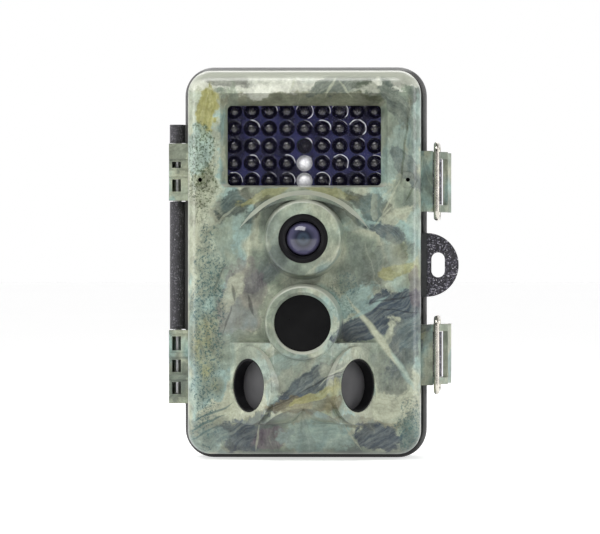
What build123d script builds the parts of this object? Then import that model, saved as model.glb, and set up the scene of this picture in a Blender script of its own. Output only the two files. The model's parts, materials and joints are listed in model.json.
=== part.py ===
"""Trail camera: a weatherproof case in two halves, hinged at one side and latched by two bails at the other.

Millimetres, +Z up, -Y is the way the camera looks. The origin is the mouth of the tripod thread in the base.
Depths are written as distances forward of the seam, the plane where the two halves meet: the front half is
positive, the rear half negative.
"""

import os
from math import asin, cos, degrees, hypot, radians, sin, tan

from build123d import *

# ---- overall -------------------------------------------------------------------------------------
body_width = 83.6  # rear half, without hinge, latches and lug
body_height = 135.0
corner_radius = 10.0
front_depth = 25.0  # seam to the front shell's flat face
rear_depth = 25.5  # seam to the rear shell's flat back
thread_to_seam = 16.0  # tripod thread's axis to the seam
wall = 2.4
shell_inset = 2.0  # how far the front shell stands in from the rear frame's rim, all round
seam_gap = 0.3  # between the closed halves
fit_gap = 0.2  # round a piece that drops into another
touch_gap = 0.05  # between a piece and what it is pressed or glued to

# ---- rear frame, hinge and padlock lug -------------------------------------------------------------
frame_depth = 8.0
frame_band = 4.6  # width of the frame's ring
rim_round = 1.1  # on the frame's front edge
rim_groove = (1.4, 0.5, 1.1)  # in from the outline, width and depth of the groove beside the front shell
gasket_width = 1.6
gasket_depth = 1.8
case_screw_radius = 1.0
case_boss_radius = 2.8
case_boss_inset = (7.0, 14.0)  # from the body's sides and ends to the case screws
pin_radius = 1.5
pin_clearance = 0.05
barrel_radius = 2.6
barrel_gap = 0.2  # between the barrels and the body's side
arm_depth = 5.2  # hinge arm, forward of the seam
rib_height = 0.6
rib_margin = 0.9  # from a window to the ribs beside it
knuckle_gap = 0.3
top_arm = (88.8, 108.5)  # height span of each hinge arm
bottom_arm = (18.8, 44.1)
end_barrel_height = 6.3  # the frame's short barrel above the top arm
top_arm_windows = ((91.9, 96.1), (100.1, 102.2))  # openings that show the pin
bottom_arm_windows = ((22.0, 26.1), (29.6, 33.8), (37.1, 41.9))
lug_radius = 11.0
lug_lift = 1.1  # from midway between the latches up to the lug's middle
lug_thickness = 3.3
lug_slot = (4.6, 8.6)  # width and height of the padlock slot
lug_slot_offset = 3.9  # slot's centre from the body's side

# ---- latches ---------------------------------------------------------------------------------------
latch_heights = {"top": 95.3, "bottom": 35.7}
latch_span = 20.8  # height of catch and lever
catch_reach = 4.15  # beyond the front shell's side
catch_depth = (3.6, 14.0)  # forward of the seam
catch_slope = (1.2, 4.0)  # how far the catch's rear end falls back, and over what depth
catch_lip = 0.1
catch_lip_width, catch_lip_foot = 0.6, 0.9
bail_radius = 0.95
bail_half_span = 12.55  # latch centre to the middle of a leg
bail_corner = 2.4
lever_pivot = (3.1, -3.0)  # beyond the body's side, forward of the seam
bail_pivot = (3.9, -10.0)
lever_pin_radius = 1.0
bracket_radius = 2.1
lever_nose = 2.7  # the lever's round end, about its pivot
lever_side = 2.4  # thickness of the lever's two cheeks
lever_end = 22.5  # how far back the lever reaches
lever_reach = 7.3  # lever's outer face beyond the body's side
trunnion_radius = 1.7

# ---- front face ------------------------------------------------------------------------------------
front_edge_round = 5.0
window_width, window_height, window_corner = 52.4, 27.2, 1.4
window_z = 107.3
window_recess = 4.4
window_thickness = 1.5
window_ledge = 1.5  # how far the window reaches behind its opening's edge
window_flare = (2.4, 4.4, 0.7)  # how far the recess widens at each side, at the top and at the bottom
window_frame = 3.4  # thickness of the frame round the window, inside the shell
visor_radius, visor_z = 24.5, 66.9
visor_rise = 4.8
visor_thickness = 2.6
visor_half_angle = 56.0
visor_skirt, visor_taper = 0.9, 18.0  # the ridge's foot beyond its radius, and its slope
lens_z = 75.5
lens_bezel_radius, lens_bezel_rise = 14.2, 10.0
lens_hole_radius = 8.4
pir_z = 46.9
pir_bezel_radius, pir_bezel_rise = 13.6, 18.6
pir_hole_radius = 9.6
lens_bezel_taper, pir_bezel_taper = 7.0, 3.0
bezel_round, mouth_bevel = 0.9, 0.9
shell_bite = 0.2  # how far a housing's foot stops short of the shell's inside
side_pir_x, side_pir_z = 18.65, 25.7
side_pir_angle = 52.0  # between each side sensor's axis and straight ahead
side_pir_radius = 9.1
side_pod_radius = 13.4
side_pod_length = 15.0
side_pir_recess = 4.1
snout_half_width = 25.3
snout_top, snout_bottom = 40.2, 12.8
snout_arch_z = 18.1  # underside at the middle
snout_ridge_rise = 17.8
snout_round = 2.0  # on the two edges beside the ridge
snout_shoulder = (9.6, 17.0)  # half width and rise where the ridge's slopes turn to the sides
pinhole_x, pinhole_z, pinhole_radius = 35.4, 95.6, 0.7
pinhole_pad, pinhole_pad_rise = (4.4, 5.2, 1.6), 0.5  # width, height and corner of the pad round a pinhole

# ---- infrared lamp ---------------------------------------------------------------------------------
led_columns, led_rows = 9, 5
led_pitch_x, led_pitch_z = 6.03, 5.95
led_radius, led_flange_radius = 2.5, 2.85
led_cup_radius = 2.72
led_height = 6.1  # board to the top of the dome
led_flange_height = 1.0
lamp_panel_depth = 5.4
window_gap = 0.3  # from the lamp panel to the window
led_sink = 0.4  # from the panel's face back to the domes
light_sensor_height, light_sensor_dish = 3.0, 0.6
cup_edge = 0.16  # bevel of the panel's holes
board_thickness = 1.6

# ---- lens and sensors ------------------------------------------------------------------------------
lens_dome_radius, dome_rise = 6.05, 2.4
dome_sink, dome_rim = 5.4, 2.2  # dome's foot behind the bezel's rim, and its straight part
retainer_sink = 0.7
lens_barrel_radius, lens_barrel_length = 7.2, 14.0
barrel_steps = ((2.2, 3.0), (3.8, 6.0))  # inset and depth of the two bores in the barrel's mouth
inner_element = (4.4, 5.8)  # behind the barrel's mouth
camera_board_side, image_chip = 25.0, (9.0, 1.0)
changer_size = (4.0, 5.0, 10.0)
disc_thickness = 1.0
pir_disc_recess = 2.0
sleeve_wall = 0.6
sensor_can_radius, sensor_can_height = 4.6, 4.2
can_flange = (0.5, 0.6)  # how far the can's flange stands out, and its thickness
side_can_depth = 11.2  # foot of a side sensor, in from its opening
side_room = 3.0  # bore left behind it for its board
sleeve_seat, sleeve_sink = 2.0, 0.35  # sleeve's length behind the window, and its mouth behind the opening
side_board_radius = 7.0

# ---- inner panel with screen and keys --------------------------------------------------------------
panel_thickness = 2.2
panel_screw_radius = 1.0
panel_boss_radius = 2.4
panel_boss_x = 34.2
panel_boss_heights = (9.5, 68.0, 125.5)
main_board_depth = 11.6  # its front face, forward of the seam
main_board_width, main_board_foot = 60.0, 8.0
tact_height, tact_side = 3.4, 6.0
screen_z = 101.0
screen_view = (50.0, 37.6)
screen_window = (53.0, 40.6, 1.0)
screen_module = (60.0, 43.0, 3.2)
key_radius, key_hole_clearance, key_flange = 3.4, 0.2, 0.9
key_proud = 0.7
key_travel = 0.6
ok_key_radius = 4.0
key_pitch = 10.4
pad_z = 63.5
outer_key_x, outer_key_rise = 25.5, 5.5  # rise above the pad's middle
switch_z = 45.0
switch_travel = 8.0
switch_knob = (3.4, 2.8)
speaker_x, speaker_z, speaker_radius = -23.0, 24.5, 9.0
pocket_x = (24.0, 34.0)
pocket_z = (15.0, 56.0)
pocket_depth = 8.0
card_size = (32.0, 24.0, 2.1)
card_cut = 4.0  # the card's cut corner
card_z = 28.0
card_shows = 3.2  # how far the card stands into the pocket
usb_size = (9.2, 7.8, 3.9)
usb_z = 48.0

# ---- batteries -------------------------------------------------------------------------------------
cell_radius, cell_length = 7.1, 49.2
nub_radius, nub_height = 2.6, 1.2
cell_gap = 0.2  # of the tray, between neighbouring bores
cell_columns = 4
cell_clearance = 0.2
spring_room, plate_room = 3.0, 0.5  # at a cell's flat end and at its nub
tray_wall = 1.6
tray_bottom = 14.0
tray_front = 1.5  # behind the seam
spring_wire, spring_turns = 0.4, 4
spring_radius = 3.4
plate_edge, plate_thickness = 0.6, 0.35  # from a contact plate's corners to the bore

# ---- base and back ---------------------------------------------------------------------------------
thread_radius, thread_depth = 2.55, 9.0  # 1/4-20 thread, cut as its minor diameter
insert_radius, insert_height = 4.6, 10.0
insert_boss_radius = 6.6
jack_x = -24.0
jack_body = (9.0, 9.0, 9.5)
jack_hole_radius, jack_pin_radius = 2.9, 1.0
cover_size = (15.0, 10.0, 1.5)
cover_plug_height, cover_plug_gap = 1.1, 0.3
back_round = 5.0
pad_width, pad_height, pad_rise = 58.0, 98.0, 7.0
pad_corner, pad_round = 6.0, 1.2
strap_width = 28.0  # height of the strap channel
strap_depth = 4.6
strap_sink = 1.2  # how far the strap channel cuts into the back
tree_radius, tree_sink = 110.0, 1.6  # the pad's hollow, for a trunk
tooth_pitch, tooth_depth, tooth_gap = 4.0, 2.4, 1.7
teeth_each_side, strap_margin = 6, 6.0  # rows of teeth, and from the strap to the first row

# ---- worked out ------------------------------------------------------------------------------------
seam_y = -thread_to_seam
half_width = body_width / 2
mid_z = body_height / 2
shell_width, shell_height = body_width - 2 * shell_inset, body_height - 2 * shell_inset
shell_corner = corner_radius - shell_inset
shell_side = half_width - shell_inset
hinge_x = -(half_width + barrel_gap + barrel_radius)
catch_x = shell_side + catch_reach
lug_z = sum(latch_heights.values()) / 2 + lug_lift
face = front_depth  # forward distance of the front shell's flat face
face_inside = front_depth - wall
housing_foot = face_inside + shell_bite
window_back = face - window_recess - window_thickness
lamp_front = window_back - window_gap
lamp_back = lamp_front - lamp_panel_depth
led_base = lamp_front - led_sink - led_height
cavity_width, cavity_height = shell_width - 2 * wall, shell_height - 2 * wall
cavity_corner = shell_corner - wall
side_tilt = radians(side_pir_angle)
side_pir_rise = (snout_half_width - side_pir_x) * tan(side_tilt)
panel_front = seam_gap + panel_thickness
lug_root = half_width - cavity_width / 2 + 0.6  # from the inner panel's edge out to the body's side


def at(forward):
    """The plane that looks forward, this far forward of the seam: its own axes are X and Z."""
    return Plane.XZ.offset(forward - seam_y)


def y_at(forward):
    """The Y of a plane this far forward of the seam."""
    return seam_y - forward


def facing_rear(x, z, forward):
    """A plane at a point that looks backwards, for screws driven into the front half."""
    return Plane(origin=(x, y_at(forward), z), x_dir=(-1, 0, 0), z_dir=(0, 1, 0))


def facing_front(x, z, forward):
    """A plane at a point that looks forward, for screws driven into the rear half and for lamps."""
    return Plane(origin=(x, y_at(forward), z), x_dir=(1, 0, 0), z_dir=(0, -1, 0))


def slab(width, height, radius, centre, start, end, mode=Mode.ADD):
    """A rounded rectangle facing forward, centred on (x, z), between two distances forward of the seam."""
    with BuildSketch(at(start)) as outline:
        with Locations(centre):
            RectangleRounded(width, height, radius)
    extrude(outline.sketch, amount=end - start, mode=mode)


def disc(radius, centre, start, end, taper=0.0, mode=Mode.ADD):
    """A round bar facing forward, centred on (x, z), between two distances forward of the seam."""
    with BuildSketch(at(start)) as outline:
        with Locations(centre):
            Circle(radius)
    extrude(outline.sketch, amount=end - start, taper=taper, mode=mode)


def block(x_span, depth_span, z_span, mode=Mode.ADD):
    """A box between two X values, two distances forward of the seam, and two heights."""
    corner = (x_span[0], y_at(depth_span[1]), z_span[0])
    size = (x_span[1] - x_span[0], depth_span[1] - depth_span[0], z_span[1] - z_span[0])
    with Locations(corner):
        Box(*size, align=(Align.MIN, Align.MIN, Align.MIN), mode=mode)


def post(radius, x, forward, z_span, mode=Mode.ADD):
    """An upright round bar."""
    with BuildSketch(Plane.XY.offset(z_span[0])) as outline:
        with Locations((x, y_at(forward))):
            Circle(radius)
    extrude(outline.sketch, amount=z_span[1] - z_span[0], mode=mode)


def side_plane(side, along=0.0):
    """The plane of a side sensor's opening, or one moved along its axis: side is 1 for +X and -1 for -X."""
    x = side_pir_x + along * sin(side_tilt)
    rise = side_pir_rise + along * cos(side_tilt)
    return Plane(
        origin=(side * x, y_at(face + rise), side_pir_z),
        x_dir=(0, 0, 1),
        z_dir=(side * sin(side_tilt), -cos(side_tilt), 0),
    )


def side_disc(side, radius, start, end, mode=Mode.ADD):
    """A round bar along a side sensor's axis, between two distances out from its opening's plane."""
    with BuildSketch(side_plane(side, along=start)) as outline:
        Circle(radius)
    extrude(outline.sketch, amount=end - start, mode=mode)


def screw(radius, head_radius, head_height, length):
    """One pan-head screw with a cross slot, its head's underside at the origin, pointing down."""
    with BuildPart() as one:
        Cylinder(head_radius, head_height, align=(Align.CENTER, Align.CENTER, Align.MIN))
        fillet(one.faces().sort_by(Axis.Z)[-1].edges(), head_height * 0.4)
        Cylinder(radius, length, align=(Align.CENTER, Align.CENTER, Align.MAX))
        chamfer(one.faces().sort_by(Axis.Z)[0].edges(), radius * 0.4)
        slot_length, slot_width = head_radius * 1.1, head_radius * 0.22
        with Locations((0, 0, head_height)):
            for turn in (0, 90):
                Box(slot_length, slot_width, head_height, rotation=(0, 0, turn), mode=Mode.SUBTRACT)
    return one.part


os.makedirs("parts", exist_ok=True)
saved = []


def save(piece, name):
    """Label a finished piece and write it as its own STEP file."""
    piece.part.label = name
    export_step(piece.part, f"parts/{name}.step")
    saved.append(name)


# ==== front half ====================================================================================

# The hooded ridge over the lens: a shallow cone with a wider, lower circle cut out of it leaves a crescent.
tip_x = visor_radius * sin(radians(visor_half_angle))
tip_drop = visor_radius * (1 - cos(radians(visor_half_angle))) - visor_thickness
cut_radius = (tip_x**2 + tip_drop**2) / (2 * tip_drop)
cut_z = visor_z + visor_radius - visor_thickness - cut_radius
with BuildPart() as visor:
    disc(visor_radius + visor_skirt, (0, visor_z), face - 1, face + visor_rise, taper=visor_taper)
    disc(cut_radius, (0, cut_z), face - 2, face + visor_rise + 1, mode=Mode.SUBTRACT)

# Round housings of the lens and of the middle sensor.
with BuildPart() as lens_bezel:
    disc(lens_bezel_radius, (0, lens_z), housing_foot, face + lens_bezel_rise, taper=lens_bezel_taper)
    fillet(lens_bezel.faces().sort_by(Axis.Y)[0].edges(), bezel_round)
with BuildPart() as pir_bezel:
    disc(pir_bezel_radius, (0, pir_z), housing_foot, face + pir_bezel_rise, taper=pir_bezel_taper)
    fillet(pir_bezel.faces().sort_by(Axis.Y)[0].edges(), bezel_round)

# The snout that carries the side sensors: its plan has a blunt ridge, and its underside an arch.
with BuildPart() as snout:
    with BuildSketch(Plane.XY) as plan:
        with BuildLine():
            Polyline(
                (-snout_half_width, y_at(housing_foot)),
                (-snout_half_width, y_at(face)),
                (-snout_shoulder[0], y_at(face + snout_shoulder[1])),
                (0, y_at(face + snout_ridge_rise)),
                (snout_shoulder[0], y_at(face + snout_shoulder[1])),
                (snout_half_width, y_at(face)),
                (snout_half_width, y_at(housing_foot)),
                close=True,
            )
        make_face()
    extrude(amount=body_height)
    fillet(snout.edges().filter_by(Axis.Z).sort_by(Axis.Y)[1:3], snout_round)
    with BuildSketch(at(0)) as front_view:
        with BuildLine():
            arch_half = snout_half_width / 2
            arch = ThreePointArc((-arch_half, snout_bottom), (0, snout_arch_z), (arch_half, snout_bottom))
            Polyline(
                arch @ 1,
                (snout_half_width, snout_bottom),
                (snout_half_width, snout_top),
                (-snout_half_width, snout_top),
                (-snout_half_width, snout_bottom),
                arch @ 0,
            )
        make_face()
    extrude(amount=face + snout_ridge_rise + 5, mode=Mode.INTERSECT)
    for side in (-1, 1):
        side_disc(side, side_pod_radius, -side_pod_length, 0.0)
    block((-half_width, half_width), (0, face_inside + 0.1), (0, body_height), mode=Mode.SUBTRACT)


def hinge_arm(z_span, windows):
    """One arm of the front shell's hinge: a ribbed block round the pin, with windows that show the pin."""
    left = hinge_x - barrel_radius
    block((left, -shell_side + 0.5), (seam_gap, arm_depth), z_span)
    post(barrel_radius, hinge_x, 0, z_span)
    for low, high in windows:
        panel = (low - rib_margin, high + rib_margin)
        block((left - 1, -shell_side), (arm_depth - rib_height, arm_depth + 1), panel, mode=Mode.SUBTRACT)
        block((hinge_x - pin_radius, hinge_x + pin_radius), (0, arm_depth), (low, high), mode=Mode.SUBTRACT)
    post(pin_radius + pin_clearance, hinge_x, 0, (z_span[0] - 1, z_span[1] + 1), mode=Mode.SUBTRACT)


def catch(z):
    """The latch catch on the front shell's side, with a low lip that keeps the bail from sliding off."""
    z_span = (z - latch_span / 2, z + latch_span / 2)
    with BuildSketch(Plane.XY.offset(z_span[0])) as plan:
        with BuildLine():
            Polyline(
                (shell_side - 0.6, y_at(catch_depth[0])),
                (catch_x - catch_slope[0], y_at(catch_depth[0])),
                (catch_x, y_at(catch_depth[0] + catch_slope[1])),
                (catch_x, y_at(catch_depth[1] + catch_lip)),
                (catch_x - catch_lip_width, y_at(catch_depth[1] + catch_lip)),
                (catch_x - catch_lip_foot, y_at(catch_depth[1])),
                (shell_side - 0.6, y_at(catch_depth[1])),
                close=True,
            )
        make_face()
    extrude(plan.sketch, amount=latch_span)


with BuildPart() as front_shell:
    slab(shell_width, shell_height, shell_corner, (0, mid_z), seam_gap, face)
    fillet(front_shell.faces().sort_by(Axis.Y)[0].edges(), front_edge_round)
    slab(cavity_width, cavity_height, cavity_corner, (0, mid_z), 0, face_inside, mode=Mode.SUBTRACT)
    # frame behind the lamp window, and the window's flared recess
    frame_margin = 2 * (window_ledge + wall)
    slab(
        window_width + frame_margin, window_height + frame_margin, window_corner + wall, (0, window_z),
        face - window_recess - window_frame, face_inside + 0.5,
    )
    add(visor.part)
    add(snout.part)
    add(lens_bezel.part)
    add(pir_bezel.part)
    # small pads with a pinhole each: microphone on one side, lamp indicator on the other
    for side in (-1, 1):
        slab(*pinhole_pad, (side * pinhole_x, pinhole_z), face - 1, face + pinhole_pad_rise)
        disc(pinhole_radius, (side * pinhole_x, pinhole_z), face_inside - 1, face + 1, mode=Mode.SUBTRACT)
    hinge_arm(top_arm, top_arm_windows)
    hinge_arm(bottom_arm, bottom_arm_windows)
    for z in latch_heights.values():
        catch(z)
    # inside
    ledge = 2 * window_ledge + 2 * fit_gap
    slab(
        window_width + ledge, window_height + ledge, window_corner, (0, window_z), 0, face - window_recess,
        mode=Mode.SUBTRACT,
    )
    with BuildSketch(at(face - window_recess - 0.5)):
        with Locations((0, window_z)):
            RectangleRounded(window_width, window_height, window_corner)
    with BuildSketch(at(face - window_recess)):
        with Locations((0, window_z)):
            RectangleRounded(window_width, window_height, window_corner)
    with BuildSketch(at(face + 0.2)):
        side_flare, top_flare, bottom_flare = window_flare
        flare_width = window_width + 2 * side_flare
        flare_height = window_height + top_flare + bottom_flare
        with Locations((0, window_z + (top_flare - bottom_flare) / 2)):
            RectangleRounded(flare_width, flare_height, window_corner + bottom_flare)
    loft(ruled=True, mode=Mode.SUBTRACT)
    disc(lens_hole_radius, (0, lens_z), 0, face + lens_bezel_rise + 1, mode=Mode.SUBTRACT)
    disc(pir_hole_radius, (0, pir_z), 0, face + pir_bezel_rise + 1, mode=Mode.SUBTRACT)
    pir_mouth = front_shell.edges().filter_by(GeomType.CIRCLE)
    pir_mouth = pir_mouth.filter_by(lambda e: abs(e.radius - pir_hole_radius) < 0.01).sort_by(Axis.Y)[0]
    chamfer(pir_mouth, mouth_bevel)
    for side in (-1, 1):
        side_disc(side, side_pir_radius, -side_can_depth - side_room, 1.0, mode=Mode.SUBTRACT)
    for x in (-panel_boss_x, panel_boss_x):
        for z in panel_boss_heights:
            disc(panel_boss_radius, (x, z), panel_front, face_inside + 0.5)
            disc(panel_screw_radius + touch_gap, (x, z), 0, panel_front + 8.0, mode=Mode.SUBTRACT)
    # way out for the inner panel's padlock lug
    lug_notch = lug_radius + fit_gap
    block(
        (shell_side - wall - 1, half_width),
        (0, seam_gap + lug_thickness + fit_gap),
        (lug_z - lug_notch, lug_z + lug_notch),
        mode=Mode.SUBTRACT,
    )
save(front_shell, "front_shell")

with BuildPart() as lamp_window:
    width, height = window_width + 2 * window_ledge, window_height + 2 * window_ledge
    slab(width, height, window_corner, (0, window_z), window_back, face - window_recess - touch_gap)
save(lamp_window, "lamp_window")

lamp_sites = [
    ((column - (led_columns - 1) / 2) * led_pitch_x, window_z + (row - (led_rows - 1) / 2) * led_pitch_z)
    for row in range(led_rows)
    for column in range(led_columns)
]
middle_sites = sorted(site for site in lamp_sites if abs(site[0]) < 0.1)
status_sites = middle_sites[:2]
light_sensor_site = middle_sites[2]
infrared_sites = [site for site in lamp_sites if site not in middle_sites[:3]]

with BuildPart() as lamp_reflector:
    width, height = window_width + 2 * window_ledge, window_height + 2 * window_ledge
    slab(width, height, window_corner, (0, window_z), lamp_back, lamp_front)
    with BuildSketch(at(lamp_back - 1)) as cups:
        with Locations(*lamp_sites):
            Circle(led_cup_radius)
    extrude(cups.sketch, amount=lamp_panel_depth + 2, mode=Mode.SUBTRACT)
    chamfer(lamp_reflector.faces().sort_by(Axis.Y)[0].edges().filter_by(GeomType.CIRCLE), cup_edge)
save(lamp_reflector, "lamp_reflector")

with BuildPart() as one_led:
    with BuildSketch(Plane.XZ):
        with BuildLine():
            dome_foot = led_height - led_radius
            Line((0, 0), (led_flange_radius, 0))
            Line((led_flange_radius, 0), (led_flange_radius, led_flange_height))
            Line((led_flange_radius, led_flange_height), (led_radius, led_flange_height))
            Line((led_radius, led_flange_height), (led_radius, dome_foot))
            ThreePointArc(
                (led_radius, dome_foot),
                (led_radius * cos(radians(45)), dome_foot + led_radius * sin(radians(45))),
                (0, led_height),
            )
            Line((0, led_height), (0, 0))
        make_face()
    revolve(axis=Axis.Z)


def lamp_group(sites, base):
    """LEDs standing on the lamp board at these (x, z) places, looking forward."""
    with BuildPart() as group:
        with Locations(*[facing_front(x, z, base) for x, z in sites]):
            add(one_led.part)
    return group.part


with BuildPart() as infrared_leds:
    add(lamp_group(infrared_sites, led_base))
save(infrared_leds, "infrared_leds")

with BuildPart() as status_leds:
    add(lamp_group(status_sites, led_base))
save(status_leds, "status_leds")

with BuildPart() as light_sensor:
    sensor_top = led_base + light_sensor_height
    disc(led_radius, light_sensor_site, led_base, sensor_top)
    dish_foot = sensor_top - light_sensor_dish
    disc(led_radius / 2, light_sensor_site, dish_foot, sensor_top + 1, mode=Mode.SUBTRACT)
save(light_sensor, "light_sensor")

with BuildPart() as lamp_board:
    width, height = window_width + 2 * window_ledge, window_height + 2 * window_ledge
    slab(width, height, 1.0, (0, window_z), led_base - board_thickness, led_base)
save(lamp_board, "lamp_board")

# ---- lens ----
lens_front = face + lens_bezel_rise
dome_base = lens_front - dome_sink
dome_edge = dome_base + dome_rim
dome_sphere = (lens_dome_radius**2 + dome_rise**2) / (2 * dome_rise)
dome_half_angle = asin(lens_dome_radius / dome_sphere) / 2
with BuildPart() as lens_retainer:
    disc(lens_hole_radius - touch_gap, (0, lens_z), dome_base, lens_front - retainer_sink)
    disc(lens_dome_radius + touch_gap, (0, lens_z), dome_base - 1, lens_front, mode=Mode.SUBTRACT)
    mouth = lens_retainer.faces().sort_by(Axis.Y)[0].edges().sort_by(SortBy.RADIUS)[0]
    chamfer(mouth, mouth_bevel)
save(lens_retainer, "lens_retainer")

with BuildPart() as lens_dome:
    with BuildSketch(Plane.YZ.offset(0)):
        with BuildLine():
            Line((y_at(dome_base), lens_z), (y_at(dome_base), lens_z + lens_dome_radius))
            Line((y_at(dome_base), lens_z + lens_dome_radius), (y_at(dome_edge), lens_z + lens_dome_radius))
            ThreePointArc(
                (y_at(dome_edge), lens_z + lens_dome_radius),
                (
                    y_at(dome_edge + dome_rise - dome_sphere * (1 - cos(dome_half_angle))),
                    lens_z + dome_sphere * sin(dome_half_angle),
                ),
                (y_at(dome_edge + dome_rise), lens_z),
            )
            Line((y_at(dome_edge + dome_rise), lens_z), (y_at(dome_base), lens_z))
        make_face()
    revolve(axis=Axis((0, 0, lens_z), (0, 1, 0)))
save(lens_dome, "lens_dome")

with BuildPart() as lens_barrel:
    barrel_front = dome_base - touch_gap
    barrel_back = barrel_front - lens_barrel_length
    disc(lens_barrel_radius, (0, lens_z), barrel_back, barrel_front)
    for inset, depth in barrel_steps:
        step_foot = barrel_front - depth
        disc(lens_barrel_radius - inset, (0, lens_z), step_foot, barrel_front + 1, mode=Mode.SUBTRACT)
save(lens_barrel, "lens_barrel")

with BuildPart() as lens_inner_element:
    element_front, element_back = barrel_front - inner_element[0], barrel_front - inner_element[1]
    disc(lens_barrel_radius - barrel_steps[1][0] - touch_gap, (0, lens_z), element_back, element_front)
    fillet(lens_inner_element.faces().sort_by(Axis.Y)[0].edges(), 0.6 * (element_front - element_back))
save(lens_inner_element, "lens_inner_element")

with BuildPart() as camera_board:
    board_side, board_face = camera_board_side, barrel_back - touch_gap
    chip_side, chip_height = image_chip
    slab(board_side, board_side, 1.0, (0, lens_z), board_face - board_thickness, board_face)
    chip_foot = board_face - board_thickness
    slab(chip_side, chip_side, 0.4, (0, lens_z), chip_foot - chip_height, chip_foot)
save(camera_board, "camera_board")

with BuildPart() as filter_changer:
    changer_width, changer_depth, changer_height = changer_size
    changer_x = (lens_barrel_radius + fit_gap, lens_barrel_radius + fit_gap + changer_width)
    changer_z = (lens_z - changer_height / 2, lens_z + changer_height / 2)
    block(changer_x, (barrel_back, barrel_back + changer_depth), changer_z)
save(filter_changer, "filter_changer")

# ---- motion sensors ----
pir_front = face + pir_bezel_rise
with BuildPart() as pir_window_front:
    disc_front = pir_front - pir_disc_recess
    disc(pir_hole_radius - touch_gap, (0, pir_z), disc_front - disc_thickness, disc_front)
save(pir_window_front, "pir_window_front")

with BuildPart() as pir_sensors:
    can_foot = face - 1.0
    disc(sensor_can_radius, (0, pir_z), can_foot, can_foot + sensor_can_height)
    disc(sensor_can_radius + can_flange[0], (0, pir_z), can_foot - can_flange[1], can_foot)
    for side in (-1, 1):
        side_disc(side, sensor_can_radius, -side_can_depth, sensor_can_height - side_can_depth)
        side_disc(side, sensor_can_radius + can_flange[0], -side_can_depth - can_flange[1], -side_can_depth)
save(pir_sensors, "pir_sensors")

with BuildPart() as pir_boards:
    board_face = can_foot - can_flange[1]
    disc(pir_hole_radius - fit_gap, (0, pir_z), board_face - board_thickness, board_face)
    side_board_face = -side_can_depth - can_flange[1]
    for side in (-1, 1):
        side_disc(side, side_board_radius, side_board_face - board_thickness, side_board_face)
save(pir_boards, "pir_boards")

for side, name in ((-1, "left"), (1, "right")):
    with BuildPart() as sleeve:
        sleeve_foot = -side_pir_recess - sleeve_seat
        side_disc(side, side_pir_radius - touch_gap, sleeve_foot, -sleeve_sink)
        side_disc(side, side_pir_radius - sleeve_wall, sleeve_foot - 1, 1.0, mode=Mode.SUBTRACT)
    save(sleeve, f"pir_sleeve_{name}")
    with BuildPart() as window:
        window_radius = side_pir_radius - sleeve_wall - touch_gap
        side_disc(side, window_radius, -side_pir_recess - disc_thickness, -side_pir_recess)
    save(window, f"pir_window_{name}")

# ---- inner panel: screen, keys, switch, ports ----
key_sites = {
    "key_up": (0, pad_z + key_pitch, key_radius),
    "key_down": (0, pad_z - key_pitch, key_radius),
    "key_left": (key_pitch, pad_z, key_radius),
    "key_right": (-key_pitch, pad_z, key_radius),
    "key_ok": (0, pad_z, ok_key_radius),
    "key_menu": (outer_key_x, pad_z + outer_key_rise, key_radius),
    "key_replay": (-outer_key_x, pad_z + outer_key_rise, key_radius),
}
pocket_mid = ((pocket_x[0] + pocket_x[1]) / 2, (pocket_z[0] + pocket_z[1]) / 2)
pocket_size = (pocket_x[1] - pocket_x[0], pocket_z[1] - pocket_z[0])
card_forward = (4.6, 4.6 + card_size[2])
panel_screw_sites = [(x, z) for x in (-panel_boss_x, panel_boss_x) for z in panel_boss_heights]

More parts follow.
